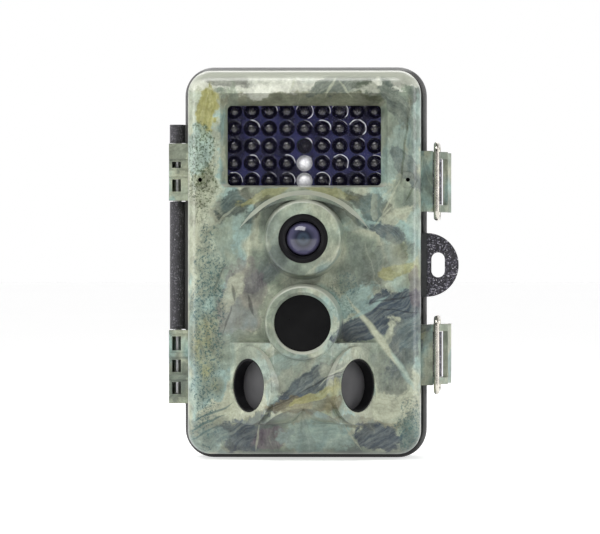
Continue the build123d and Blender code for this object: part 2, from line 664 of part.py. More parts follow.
with BuildPart() as inner_panel:
    slab(
        cavity_width - 2 * fit_gap, cavity_height - 2 * fit_gap, cavity_corner - fit_gap, (0, mid_z),
        seam_gap, panel_front,
    )
    # tub behind the port pocket, open towards the card and USB sockets
    slab(
        pocket_size[0] + 2 * tray_wall, pocket_size[1] + 2 * tray_wall, 1.8, pocket_mid,
        seam_gap, pocket_depth + tray_wall,
    )
    slab(*pocket_size, 1.0, pocket_mid, 0, pocket_depth, mode=Mode.SUBTRACT)
    for z, height in ((card_z, card_size[1]), (usb_z, usb_size[1])):
        mouth = (z - height / 2 - fit_gap, z + height / 2 + fit_gap)
        mouth_x = (pocket_x[0] - 2 * tray_wall, pocket_x[0] + 0.1)
        block(mouth_x, (panel_front, pocket_depth), mouth, mode=Mode.SUBTRACT)
    # padlock lug
    with BuildSketch(at(seam_gap)):
        with Locations((half_width, lug_z)):
            Circle(lug_radius)
        with Locations((half_width - lug_radius / 2 - 0.001, lug_z)):
            Rectangle(lug_radius, 2 * lug_radius + 1, mode=Mode.SUBTRACT)
        with Locations((half_width - lug_root / 2, lug_z)):
            Rectangle(lug_root, 2 * lug_radius)
        with Locations((half_width + lug_slot_offset, lug_z)):
            SlotOverall(lug_slot[1], lug_slot[0], rotation=90, mode=Mode.SUBTRACT)
    extrude(amount=lug_thickness)
    # screen opening with a rebate for its window
    slab(*screen_view, 0.8, (0, screen_z), 0, panel_front + 1, mode=Mode.SUBTRACT)
    slab(
        screen_window[0] + 2 * touch_gap, screen_window[1] + 2 * touch_gap, 1.2, (0, screen_z),
        0, seam_gap + 0.4 + screen_window[2], mode=Mode.SUBTRACT,
    )
    for x, z, radius in key_sites.values():
        disc(radius + key_hole_clearance, (x, z), 0, panel_front + 1, mode=Mode.SUBTRACT)
    with BuildSketch(at(0)) as slot:
        with Locations((0, switch_z)):
            Rectangle(switch_travel + switch_knob[0] + 0.8, switch_knob[1] + 0.6)
    extrude(slot.sketch, amount=panel_front + 1, mode=Mode.SUBTRACT)
    # speaker grille
    with BuildSketch(at(0)) as grille:
        with Locations((speaker_x, speaker_z)):
            Circle(0.8)
            with PolarLocations(3.2, 6):
                Circle(0.8)
            with PolarLocations(6.2, 12):
                Circle(0.8)
    extrude(grille.sketch, amount=panel_front + 1, mode=Mode.SUBTRACT)
    with Locations(*[facing_rear(x, z, seam_gap) for x, z in panel_screw_sites]):
        CounterBoreHole(panel_screw_radius + 0.2, 2.3, 1.3, depth=panel_thickness + 1)
save(inner_panel, "inner_panel")

with BuildPart() as screen_cover:
    cover_back = seam_gap + 0.4
    slab(*screen_window[:2], 1.2, (0, screen_z), cover_back, cover_back + screen_window[2] - touch_gap)
save(screen_cover, "screen_cover")

with BuildPart() as screen:
    slab(*screen_module[:2], 1.0, (0, screen_z), panel_front + touch_gap, panel_front + screen_module[2])
save(screen, "screen")

tact_top = main_board_depth - tact_height
for name, (x, z, radius) in key_sites.items():
    with BuildPart() as key:
        disc(radius, (x, z), seam_gap - key_proud, panel_front + 0.1)
        fillet(key.faces().sort_by(Axis.Y)[-1].edges(), 0.6)
        disc(radius + key_flange, (x, z), panel_front + 0.1, panel_front + 1.0)
        disc(1.2, (x, z), panel_front + 0.9, tact_top - key_travel - 0.2)
    save(key, name)

with BuildPart() as switch_knob_part:
    off_x = -switch_travel / 2
    block(
        (off_x - switch_knob[0] / 2, off_x + switch_knob[0] / 2), (-0.6, panel_front + 0.6),
        (switch_z - switch_knob[1] / 2, switch_z + switch_knob[1] / 2),
    )
    chamfer(switch_knob_part.faces().sort_by(Axis.Y)[-1].edges(), 0.3)
    for shift in (-0.8, 0, 0.8):
        groove = (off_x + shift - 0.15, off_x + shift + 0.15)
        block(groove, (-1, -0.35), (switch_z - 2, switch_z + 2), mode=Mode.SUBTRACT)
    block(
        (off_x - switch_knob[0] / 2 - 1, off_x + switch_knob[0] / 2 + 1),
        (panel_front + 0.4, panel_front + 1.0),
        (switch_z - 2.2, switch_z + 2.2),
    )
save(switch_knob_part, "switch_knob")

with BuildPart() as switch_body:
    block((-10.5, 10.5), (panel_front + 1.2, panel_front + 5.0), (switch_z - 3.0, switch_z + 3.0))
save(switch_body, "switch_body")

with BuildPart() as speaker:
    disc(speaker_radius, (speaker_x, speaker_z), panel_front + 0.3, panel_front + 3.6)
    disc(speaker_radius - 3.2, (speaker_x, speaker_z), panel_front + 3.6, panel_front + 5.2)
save(speaker, "speaker")

card_mouth = pocket_x[0] - tray_wall
with BuildPart() as card_socket:
    span_z = (card_z - card_size[1] / 2 - 1.4, card_z + card_size[1] / 2 + 1.4)
    socket_end = main_board_depth - board_thickness - touch_gap
    block((card_mouth - card_size[0] - 1.0, card_mouth - 0.2), (card_forward[0] - 0.5, socket_end), span_z)
    block(
        (card_mouth - card_size[0], card_mouth),
        (card_forward[0] - fit_gap, card_forward[1] + fit_gap),
        (card_z - card_size[1] / 2 - fit_gap, card_z + card_size[1] / 2 + fit_gap),
        mode=Mode.SUBTRACT,
    )
save(card_socket, "card_socket")

with BuildPart() as memory_card:
    card_end = pocket_x[0] + card_shows
    with BuildSketch(at(card_forward[0])):
        with BuildLine():
            low, high = card_z - card_size[1] / 2, card_z + card_size[1] / 2
            left = card_end - card_size[0]
            cut_corner = ((left + card_cut, high), (left, high - card_cut))
            Polyline((left, low), (card_end, low), (card_end, high), *cut_corner, close=True)
        make_face()
    extrude(amount=card_size[2])
save(memory_card, "memory_card")

with BuildPart() as usb_socket:
    usb_span = (pocket_depth - 0.1 - usb_size[2], pocket_depth - 0.1)
    usb_height = (usb_z - usb_size[1] / 2, usb_z + usb_size[1] / 2)
    block((card_mouth - usb_size[0], card_mouth + 0.6), usb_span, usb_height)
    chamfer(usb_socket.edges().filter_by(Axis.X).sort_by(Axis.Y)[:2], 1.0)
    hollow = offset(usb_socket.faces().sort_by(Axis.X)[-1], amount=-0.5, mode=Mode.PRIVATE)
    extrude(hollow, amount=-6.0, mode=Mode.SUBTRACT)
    block((card_mouth - 6, card_mouth), (usb_span[0] + 1.6, usb_span[0] + 2.2), (usb_z - 2.4, usb_z + 2.4))
save(usb_socket, "usb_socket")

with BuildPart() as main_board:
    board_top = screen_z - screen_module[1] / 2 - 2
    board_size = (main_board_width, board_top - main_board_foot)
    board_mid = (board_top + main_board_foot) / 2
    slab(*board_size, 1.0, (0, board_mid), main_board_depth - board_thickness, main_board_depth)
save(main_board, "main_board")

with BuildPart() as tact_switches:
    for x, z, _ in key_sites.values():
        tact_foot = main_board_depth - board_thickness - touch_gap
        reach = tact_side / 2
        block((x - reach, x + reach), (tact_top + 0.5, tact_foot), (z - reach, z + reach))
        disc(1.6, (x, z), tact_top, tact_top + 0.6)
save(tact_switches, "tact_switches")

with BuildPart() as board_chips:
    chip_base = main_board_depth + touch_gap
    slab(14, 14, 0.4, (-14, 54), chip_base, chip_base + 1.2)
    slab(9, 12, 0.4, (12, 34), chip_base, chip_base + 1.0)
    slab(18, 6, 0.4, (-8, 14), chip_base, chip_base + 4.5)
save(board_chips, "board_chips")

one_panel_screw = screw(panel_screw_radius, 2.0, 1.1, 7.5)
with BuildPart() as panel_screws:
    with Locations(*[facing_rear(x, z, seam_gap + 1.3) for x, z in panel_screw_sites]):
        add(one_panel_screw)
save(panel_screws, "panel_screws")

# ==== rear half =====================================================================================

case_screw_sites = [
    (x, z)
    for x in (case_boss_inset[0] - half_width, half_width - case_boss_inset[0])
    for z in (case_boss_inset[1], body_height - case_boss_inset[1])
]
gasket_inset = shell_inset + (wall - gasket_width) / 2
frame_barrels = (
    (bottom_arm[1] + knuckle_gap, top_arm[0] - knuckle_gap),
    (top_arm[1] + knuckle_gap, top_arm[1] + knuckle_gap + end_barrel_height),
)


def ring(inset, band, start, end, mode=Mode.ADD):
    """A band that follows the body's outline, this far in from it."""
    with BuildSketch(at(start)) as outline:
        with Locations((0, mid_z)):
            RectangleRounded(body_width - 2 * inset, body_height - 2 * inset, corner_radius - inset)
            inner = inset + band
            RectangleRounded(
                body_width - 2 * inner, body_height - 2 * inner, corner_radius - inner, mode=Mode.SUBTRACT
            )
    extrude(outline.sketch, amount=end - start, mode=mode)


with BuildPart() as rear_frame:
    ring(0, frame_band, -frame_depth, 0)
    fillet(rear_frame.faces().sort_by(Axis.Y)[0].outer_wire().edges(), rim_round)
    groove_inset, groove_width, groove_depth = rim_groove
    ring(groove_inset, groove_width, -groove_depth, 1, mode=Mode.SUBTRACT)
    for x, z in case_screw_sites:
        disc(case_boss_radius, (x, z), -frame_depth, -0.8)
    ring(gasket_inset, gasket_width, -gasket_depth, 1, mode=Mode.SUBTRACT)
    for z_span in frame_barrels:
        post(barrel_radius, hinge_x, 0, z_span)
        block((hinge_x, -half_width + 0.5), (-barrel_radius, 0), z_span)
        post(pin_radius + pin_clearance, hinge_x, 0, (z_span[0] - 1, z_span[1] + 1), mode=Mode.SUBTRACT)
    with BuildSketch(at(-lug_thickness)):
        with Locations((half_width, lug_z)):
            Circle(lug_radius)
        with Locations((half_width - lug_radius / 2 - 1, lug_z)):
            Rectangle(lug_radius, 2 * lug_radius + 1, mode=Mode.SUBTRACT)
        with Locations((half_width + lug_slot_offset, lug_z)):
            SlotOverall(lug_slot[1], lug_slot[0], rotation=90, mode=Mode.SUBTRACT)
    extrude(amount=lug_thickness)
    # brackets that carry the latch levers
    for z in latch_heights.values():
        reach = latch_span / 2 - lever_side - fit_gap
        span = (z - reach, z + reach)
        pivot_x = half_width + lever_pivot[0]
        arm = (lever_pivot[1] - bracket_radius, lever_pivot[1] + bracket_radius)
        post(bracket_radius, pivot_x, lever_pivot[1], span)
        block((half_width - 0.5, pivot_x), arm, span)
        bore = (span[0] - 1, span[1] + 1)
        post(lever_pin_radius + touch_gap, pivot_x, lever_pivot[1], bore, mode=Mode.SUBTRACT)
    with Locations(*[facing_front(x, z, -0.8) for x, z in case_screw_sites]):
        CounterBoreHole(case_screw_radius + 0.15, 2.2, 1.6, depth=frame_depth)
save(rear_frame, "rear_frame")

with BuildPart() as gasket:
    ring(gasket_inset + touch_gap, gasket_width - 2 * touch_gap, touch_gap - gasket_depth, -touch_gap)
save(gasket, "gasket")

with BuildPart() as hinge_pin:
    post(pin_radius, hinge_x, 0, (bottom_arm[0] + 0.5, frame_barrels[1][1] - 0.4))
    chamfer(hinge_pin.edges().filter_by(GeomType.CIRCLE), 0.4)
save(hinge_pin, "hinge_pin")

back = -rear_depth
pad_back = back - pad_rise


def jack_square(half_x, half_y, z_span, mode=Mode.ADD):
    """An upright box centred on the power socket."""
    depth = (-thread_to_seam - half_y, -thread_to_seam + half_y)
    block((jack_x - half_x, jack_x + half_x), depth, z_span, mode=mode)


with BuildPart() as rear_shell:
    slab(body_width, body_height, corner_radius, (0, mid_z), back, -frame_depth)
    fillet(rear_shell.faces().sort_by(Axis.Y)[-1].edges(), back_round)
    slab(pad_width, pad_height, pad_corner, (0, mid_z), pad_back, back + 0.5)
    fillet(rear_shell.faces().sort_by(Axis.Y)[-1].edges(), pad_round)
    # hollow for a tree trunk
    hollow_y = y_at(pad_back) - tree_sink + tree_radius
    with BuildSketch(Plane.XY) as trunk:
        with Locations((0, hollow_y)):
            Circle(tree_radius)
    extrude(trunk.sketch, amount=body_height, mode=Mode.SUBTRACT)
    # gripping teeth above and below the strap
    first_tooth = strap_width / 2 + strap_margin
    rows = [first_tooth + tooth_pitch * n for n in range(teeth_each_side)]
    with BuildSketch(Plane.YZ.offset(-half_width)) as teeth:
        for z in (mid_z + side * row for side in (-1, 1) for row in rows):
            with Locations((y_at(pad_back), z)):
                Rectangle(2 * tooth_depth, tooth_gap)
    extrude(teeth.sketch, amount=body_width, mode=Mode.SUBTRACT)
    # strap channel behind the pad's skin
    strap_front = back + strap_sink
    block(
        (-half_width, half_width),
        (strap_front - strap_depth, strap_front),
        (mid_z - strap_width / 2, mid_z + strap_width / 2),
        mode=Mode.SUBTRACT,
    )
    hollow_size = (body_width - 2 * wall, body_height - 2 * wall, corner_radius - wall)
    slab(*hollow_size, (0, mid_z), strap_front + wall, 0, mode=Mode.SUBTRACT)
    for x, z in case_screw_sites:
        disc(case_boss_radius, (x, z), back + wall, -frame_depth)
        disc(case_screw_radius + touch_gap, (x, z), -frame_depth - 9.0, 0, mode=Mode.SUBTRACT)
    post(insert_boss_radius, 0, -thread_to_seam, (0, insert_height + 1.6))
    post(insert_radius, 0, -thread_to_seam, (-1, insert_height + touch_gap), mode=Mode.SUBTRACT)
    # power socket with a rebate for its cover
    jack_square(jack_body[0] / 2 + 1.6, jack_body[1] / 2 + 1.6, (wall - 0.2, 8.0))
    jack_square(cover_size[0] / 2, cover_size[1] / 2, (-1, cover_size[2] + 0.1), mode=Mode.SUBTRACT)
    jack_pocket = (cover_size[2] + 0.6, 9.0)
    jack_square(jack_body[0] / 2 + touch_gap, jack_body[1] / 2 + touch_gap, jack_pocket, mode=Mode.SUBTRACT)
    post(jack_hole_radius + 0.6, jack_x, -thread_to_seam, (0, 9.0), mode=Mode.SUBTRACT)
save(rear_shell, "rear_shell")

with BuildPart() as tripod_insert:
    post(insert_radius - touch_gap, 0, -thread_to_seam, (0, insert_height))
    post(thread_radius, 0, -thread_to_seam, (-1, thread_depth), mode=Mode.SUBTRACT)
save(tripod_insert, "tripod_insert")

with BuildPart() as power_socket:
    socket_base = cover_size[2] + 0.65
    jack_square(jack_body[0] / 2, jack_body[1] / 2, (socket_base, socket_base + jack_body[2]))
    post(jack_hole_radius, jack_x, -thread_to_seam, (0, socket_base + 8.0), mode=Mode.SUBTRACT)
    post(jack_pin_radius, jack_x, -thread_to_seam, (socket_base + 1.2, socket_base + 8.5))
save(power_socket, "power_socket")

with BuildPart() as socket_cover:
    jack_square(cover_size[0] / 2 - fit_gap, cover_size[1] / 2 - fit_gap, (0.1, cover_size[2] - 0.1))
    fillet(socket_cover.edges().filter_by(Axis.Z).sort_by(Axis.X)[2:], 1.5)
    plug = (cover_size[2] - 0.2, cover_size[2] + cover_plug_height)
    post(jack_hole_radius - cover_plug_gap, jack_x, -thread_to_seam, plug)
    chamfer(socket_cover.faces().sort_by(Axis.Z)[-1].edges(), 0.4)
save(socket_cover, "socket_cover")

# ---- battery tray: four cells side by side in each of two tiers ----
cell_depth = -(tray_front + cell_clearance + cell_radius)
plate_half = (cell_radius + cell_clearance) * sin(radians(45)) - plate_edge
tier_height = cell_length + nub_height + spring_room + plate_room
tier_bases = [tray_bottom + tray_wall + tier * (tier_height + tray_wall) for tier in range(2)]
cell_pitch = 2 * (cell_radius + cell_clearance) + cell_gap
tray_width = cell_columns * cell_pitch + 2 * tray_wall
tray_height = 2 * tier_height + 3 * tray_wall
tray_back = cell_depth - cell_radius - cell_clearance - tray_wall
cell_sites = [
    ((column - (cell_columns - 1) / 2) * cell_pitch, base)
    for base in tier_bases
    for column in range(cell_columns)
]

with BuildPart() as battery_tray:
    tray_mid = tray_bottom + tray_height / 2
    slab(tray_width, tray_height, 1.5, (0, tray_mid), tray_back, -tray_front)
    for x, base in cell_sites:
        span = (base, base + tier_height)
        post(cell_radius + cell_clearance, x, cell_depth, span, mode=Mode.SUBTRACT)
        mouth = cell_radius * 0.92
        block((x - mouth, x + mouth), (cell_depth, 0), span, mode=Mode.SUBTRACT)
save(battery_tray, "battery_tray")

flip = [(index % 2 == 0) for index in range(len(cell_sites))]  # neighbours lie head to tail
with BuildPart() as one_cell:
    Cylinder(cell_radius, cell_length, align=(Align.CENTER, Align.CENTER, Align.MIN))
    fillet(one_cell.edges(), 0.5)
    Cylinder(nub_radius, cell_length + nub_height, align=(Align.CENTER, Align.CENTER, Align.MIN))


def cell_place(index):
    """Where a cell stands: its flat end at the foot of the bay, or at the top if it is turned over."""
    x, base = cell_sites[index]
    y = y_at(cell_depth)
    if flip[index]:
        return Plane(origin=(x, y, base + spring_room), x_dir=(1, 0, 0), z_dir=(0, 0, 1))
    return Plane(origin=(x, y, base + tier_height - spring_room), x_dir=(1, 0, 0), z_dir=(0, 0, -1))


with BuildPart() as battery_cells:
    with Locations(*[cell_place(index) for index in range(len(cell_sites))]):
        add(one_cell.part)
save(battery_cells, "battery_cells")

with BuildPart() as one_spring:
    spring_height = spring_room - plate_room - 2 * spring_wire
    with BuildLine() as coil:
        Helix(spring_height / spring_turns, spring_height, spring_radius, cone_angle=0)
    with BuildSketch(Plane(origin=coil.line @ 0, z_dir=coil.line % 0)):
        Circle(spring_wire / 2)
    sweep(is_frenet=True)

with BuildPart() as contact_springs:
    for index in range(len(cell_sites)):
        plane = cell_place(index)
        with Locations(plane.offset(spring_wire - spring_room + plate_room)):
            add(one_spring.part)
save(contact_springs, "contact_springs")

with BuildPart() as contact_plates:
    for x, base in cell_sites:
        for foot in (base + touch_gap, base + tier_height - plate_thickness - 2 * touch_gap):
            span = (cell_depth - plate_half, cell_depth + plate_half)
            block((x - plate_half, x + plate_half), span, (foot, foot + plate_thickness))
save(contact_plates, "contact_plates")

one_case_screw = screw(case_screw_radius, 2.0, 1.2, 12.0)
with BuildPart() as case_screws:
    with Locations(*[facing_front(x, z, -0.8 - 1.6) for x, z in case_screw_sites]):
        add(one_case_screw)
save(case_screws, "case_screws")

# ==== latches =======================================================================================

pivot_x = half_width + lever_pivot[0]
bail_x = half_width + bail_pivot[0]
bail_front = catch_depth[1] + bail_radius + 0.3  # crossbar's middle, forward of the seam
crossbar_x = catch_x + 0.25 + bail_radius  # just outboard of the catch, where the door can open

for name, z in latch_heights.items():
    low, high = z - latch_span / 2, z + latch_span / 2
    with BuildPart() as lever:
        outer = half_width + lever_reach
        with BuildSketch(Plane.XY.offset(low)):
            with BuildLine():
                Polyline(
                    (pivot_x - 2.4, y_at(lever_pivot[1])),
                    (pivot_x - 1.9, y_at(-14.5)),
                    (outer - 2.0, y_at(-17.0)),
                    (outer - 1.6, y_at(-lever_end + 1.5)),
                    (outer + 0.6, y_at(-lever_end)),
                    (outer + 1.3, y_at(-lever_end + 1.2)),
                    (outer, y_at(-lever_end + 4.0)),
                    (outer, y_at(lever_pivot[1] - 1.0)),
                    (pivot_x + 1.9, y_at(lever_pivot[1] + 1.9)),
                    (pivot_x, y_at(lever_pivot[1] + lever_nose)),
                    close=True,
                )
            make_face()
            with Locations((pivot_x, y_at(lever_pivot[1]))):
                Circle(lever_nose)
        extrude(amount=latch_span)
        fillet(lever.edges().filter_by(Axis.Z).filter_by(lambda e: e.center().X > outer - 0.5), 0.6)
        # hollow between the two cheeks, round the frame's bracket
        inner = (low + lever_side, high - lever_side)
        block((half_width, outer - 1.7), (-lever_end - 5, 5), inner, mode=Mode.SUBTRACT)
        block((half_width, outer + 2), (lever_pivot[1] - 3.0, 5), inner, mode=Mode.SUBTRACT)
        post(lever_pin_radius + touch_gap, pivot_x, lever_pivot[1], (low - 1, high + 1), mode=Mode.SUBTRACT)
        post(trunnion_radius + touch_gap, bail_x, bail_pivot[1], (low - 1, high + 1), mode=Mode.SUBTRACT)
    save(lever, f"lever_{name}")

    with BuildPart() as trunnions:
        for span in ((low + 0.1, low + lever_side), (high - lever_side, high - 0.1)):
            post(trunnion_radius, bail_x, bail_pivot[1], span)
            post(bail_radius + touch_gap, bail_x, bail_pivot[1], span, mode=Mode.SUBTRACT)
    save(trunnions, f"bail_bushes_{name}")

    with BuildPart() as bail:
        top, foot = z + bail_half_span, z - bail_half_span
        hinge_point = (bail_x, y_at(bail_pivot[1]))
        bar_point = (crossbar_x, y_at(bail_front))
        with BuildLine() as wire:
            FilletPolyline(
                (*hinge_point, high - lever_side + 0.2),
                (*hinge_point, top),
                (*bar_point, top),
                (*bar_point, foot),
                (*hinge_point, foot),
                (*hinge_point, low + lever_side - 0.2),
                radius=[1.2, bail_corner, bail_corner, 1.2],
            )
        with BuildSketch(Plane(origin=wire.line @ 0, z_dir=wire.line % 0)):
            Circle(bail_radius)
        sweep()
    save(bail, f"bail_{name}")

with BuildPart() as lever_pins:
    for z in latch_heights.values():
        post(lever_pin_radius, pivot_x, lever_pivot[1], (z - latch_span / 2 + 0.1, z + latch_span / 2 - 0.1))
save(lever_pins, "lever_pins")

# The bail's swing from its drawn pose inward to the seat on the catch.
leg = hypot(crossbar_x - bail_x, bail_front - bail_pivot[1])
seat_x = catch_x - catch_lip_foot - bail_radius
rest_angle = degrees(asin((bail_x - crossbar_x) / leg))
seat_angle = degrees(asin((bail_x - seat_x) / leg))
print(f"bail leg {leg:.2f} mm; the seated bail stands {seat_angle - rest_angle:.2f} degrees inward of rest")
print(f"hinge pin at x {hinge_x:.2f}, y {y_at(0):.2f}")
print(f"lever pivot at x {pivot_x:.2f}, y {y_at(lever_pivot[1]):.2f}")
print(f"bail pivot x {bail_x:.2f}, y {y_at(bail_pivot[1]):.2f}; thread mouth at the origin")

print(len(saved), "pieces")
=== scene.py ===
"""Looks of the trail camera: procedural materials, studio light and camera."""

import json
from math import cos, pi, radians, sin

import bmesh
import bpy
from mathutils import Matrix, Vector


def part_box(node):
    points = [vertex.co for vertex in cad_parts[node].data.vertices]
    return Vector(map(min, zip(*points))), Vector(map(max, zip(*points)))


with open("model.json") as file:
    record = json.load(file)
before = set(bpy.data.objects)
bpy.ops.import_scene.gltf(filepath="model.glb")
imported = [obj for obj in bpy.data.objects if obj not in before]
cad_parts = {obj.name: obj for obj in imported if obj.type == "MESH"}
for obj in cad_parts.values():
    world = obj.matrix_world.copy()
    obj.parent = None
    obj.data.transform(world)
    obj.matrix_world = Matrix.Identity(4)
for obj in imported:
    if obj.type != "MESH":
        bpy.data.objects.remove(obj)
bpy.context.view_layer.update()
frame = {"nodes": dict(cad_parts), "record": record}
nodes = frame["nodes"]
MM = 0.001
NEXT_TO_NOTHING = 1e-7


# ---- helpers for node trees ------------------------------------------------------------------------


class Paint:
    """One material being built. Sockets are passed about as plain values or as node outputs."""

    def __init__(self, name):
        self.material = bpy.data.materials.new(name)
        self.material.use_nodes = True
        self.tree = self.material.node_tree
        self.tree.nodes.clear()
        self.shader = self.tree.nodes.new("ShaderNodeBsdfPrincipled")
        output = self.tree.nodes.new("ShaderNodeOutputMaterial")
        self.tree.links.new(self.shader.outputs[0], output.inputs[0])
        place = self.tree.nodes.new("ShaderNodeTexCoord")
        self.metres = place.outputs["Object"]
        self.facing = place.outputs["Normal"]
        self.mm = self.vector("SCALE", self.metres, scale=1000.0)

    def set(self, socket, value):
        """Feeds a socket from another output, a number or a colour."""
        if isinstance(value, bpy.types.NodeSocket):
            self.tree.links.new(value, socket)
        elif isinstance(value, (tuple, list)) and len(value) == 3 and socket.type == "RGBA":
            socket.default_value = (*value, 1.0)
        else:
            socket.default_value = value

    def add(self, kind, inputs=(), **settings):
        node = self.tree.nodes.new(kind)
        for key, value in settings.items():
            setattr(node, key, value)
        for key, value in dict(inputs).items():
            self.set(node.inputs[key], value)
        return node

    def math(self, operation, a, b=0.0, clamp=False):
        return self.add("ShaderNodeMath", {0: a, 1: b}, operation=operation, use_clamp=clamp).outputs[0]

    def vector(self, operation, a, b=(0, 0, 0), scale=1.0):
        node = self.add("ShaderNodeVectorMath", {0: a, 1: b, 3: scale}, operation=operation)
        return node.outputs["Value"] if operation == "LENGTH" else node.outputs[0]

    def after(self, colour, vector):
        """The vector, worked out only once the colour is, so a long chain of shapes holds few values."""
        inputs = {0: colour, 1: (NEXT_TO_NOTHING,) * 3, 2: vector}
        return self.add("ShaderNodeVectorMath", inputs, operation="MULTIPLY_ADD").outputs[0]

    def noise(self, vector, scale, detail=2.0, roughness=0.5, colour=False):
        inputs = {"Vector": vector, "Scale": scale, "Detail": detail, "Roughness": roughness}
        return self.add("ShaderNodeTexNoise", inputs).outputs[1 if colour else 0]

    def smooth(self, value, low, high):
        """0 below low and 1 above high, or the other way round if low is the larger."""
        inputs = {"Value": value, "From Min": low, "From Max": high}
        return self.add("ShaderNodeMapRange", inputs, interpolation_type="SMOOTHSTEP").outputs[0]

    def ramp(self, value, stops, interpolation="LINEAR"):
        node = self.add("ShaderNodeValToRGB", {0: value})
        ramp = node.color_ramp
        ramp.interpolation = interpolation
        while len(ramp.elements) < len(stops):
            ramp.elements.new(0.5)
        for element, (place, colour) in zip(ramp.elements, stops):
            element.position = place
            element.color = (*colour, 1.0)
        return node.outputs[0]

    def mix(self, factor, a, b, blend="MIX"):
        node = self.add("ShaderNodeMix", data_type="RGBA", blend_type=blend)
        for index, value in ((0, factor), (6, a), (7, b)):
            self.set(node.inputs[index], value)
        return node.outputs[2]

    def turned(self, vector, centre, degrees, scale=(1, 1, 1)):
        """Coordinates about a centre, turned in the front view, then scaled."""
        moved = self.vector("SUBTRACT", vector, centre)
        inputs = {"Vector": moved, "Rotation": (0, radians(degrees), 0)}
        rotated = self.add("ShaderNodeMapping", inputs).outputs[0]
        return self.vector("MULTIPLY", rotated, scale)

    def split(self, vector):
        return self.add("ShaderNodeSeparateXYZ", {0: vector}).outputs

    def painted_light_by_facing(self, stops):
        """Painted light and shade by facing: a shade that runs from what faces the ground, at 0, to what
        faces the sky, at 1.
        """
        upward = self.math("MULTIPLY", self.math("ADD", self.split(self.facing)[2], 1.0), 0.5)
        return self.ramp(upward, stops)

    def bump(self, height, strength, distance, normal=None):
        inputs = {"Height": height, "Strength": strength, "Distance": distance}
        if normal is not None:
            inputs["Normal"] = normal
        return self.add("ShaderNodeBump", inputs).outputs[0]

    def soft_edges(self, radius):
        """A normal that rounds the object's edges, as a moulded piece's are."""
        return self.add("ShaderNodeBevel", {"Radius": radius}, samples=4).outputs[0]

    def finish(self, colour, roughness, normal=None, **fixed):
        self.set(self.shader.inputs["Base Color"], colour)
        self.set(self.shader.inputs["Roughness"], roughness)
        if normal is not None:
            self.set(self.shader.inputs["Normal"], normal)
        for key, value in fixed.items():
            self.shader.inputs[key.replace("_", " ")].default_value = value
        return self.material


# ---- camouflage print ------------------------------------------------------------------------------

MIDDLE = (0.205, 0.230, 0.205)
CONTRAST = 1.32
# painted light: the pale tone laid over what faces up
PAINTED_SKYLIGHT = (0.46, 0.48, 0.40)
CREAM = (0.560, 0.580, 0.500)
PALE = (0.360, 0.385, 0.290)
MIST = (0.250, 0.345, 0.310)
SAGE = (0.205, 0.245, 0.190)
OLIVE = (0.270, 0.272, 0.125)
BROWN = (0.140, 0.125, 0.070)
GREY = (0.120, 0.145, 0.125)
SLATE = (0.078, 0.101, 0.110)
MAUVE = (0.150, 0.128, 0.138)
TEAL = (0.055, 0.105, 0.103)
DARK = (0.030, 0.037, 0.036)
MOSS = (0.038, 0.055, 0.025)
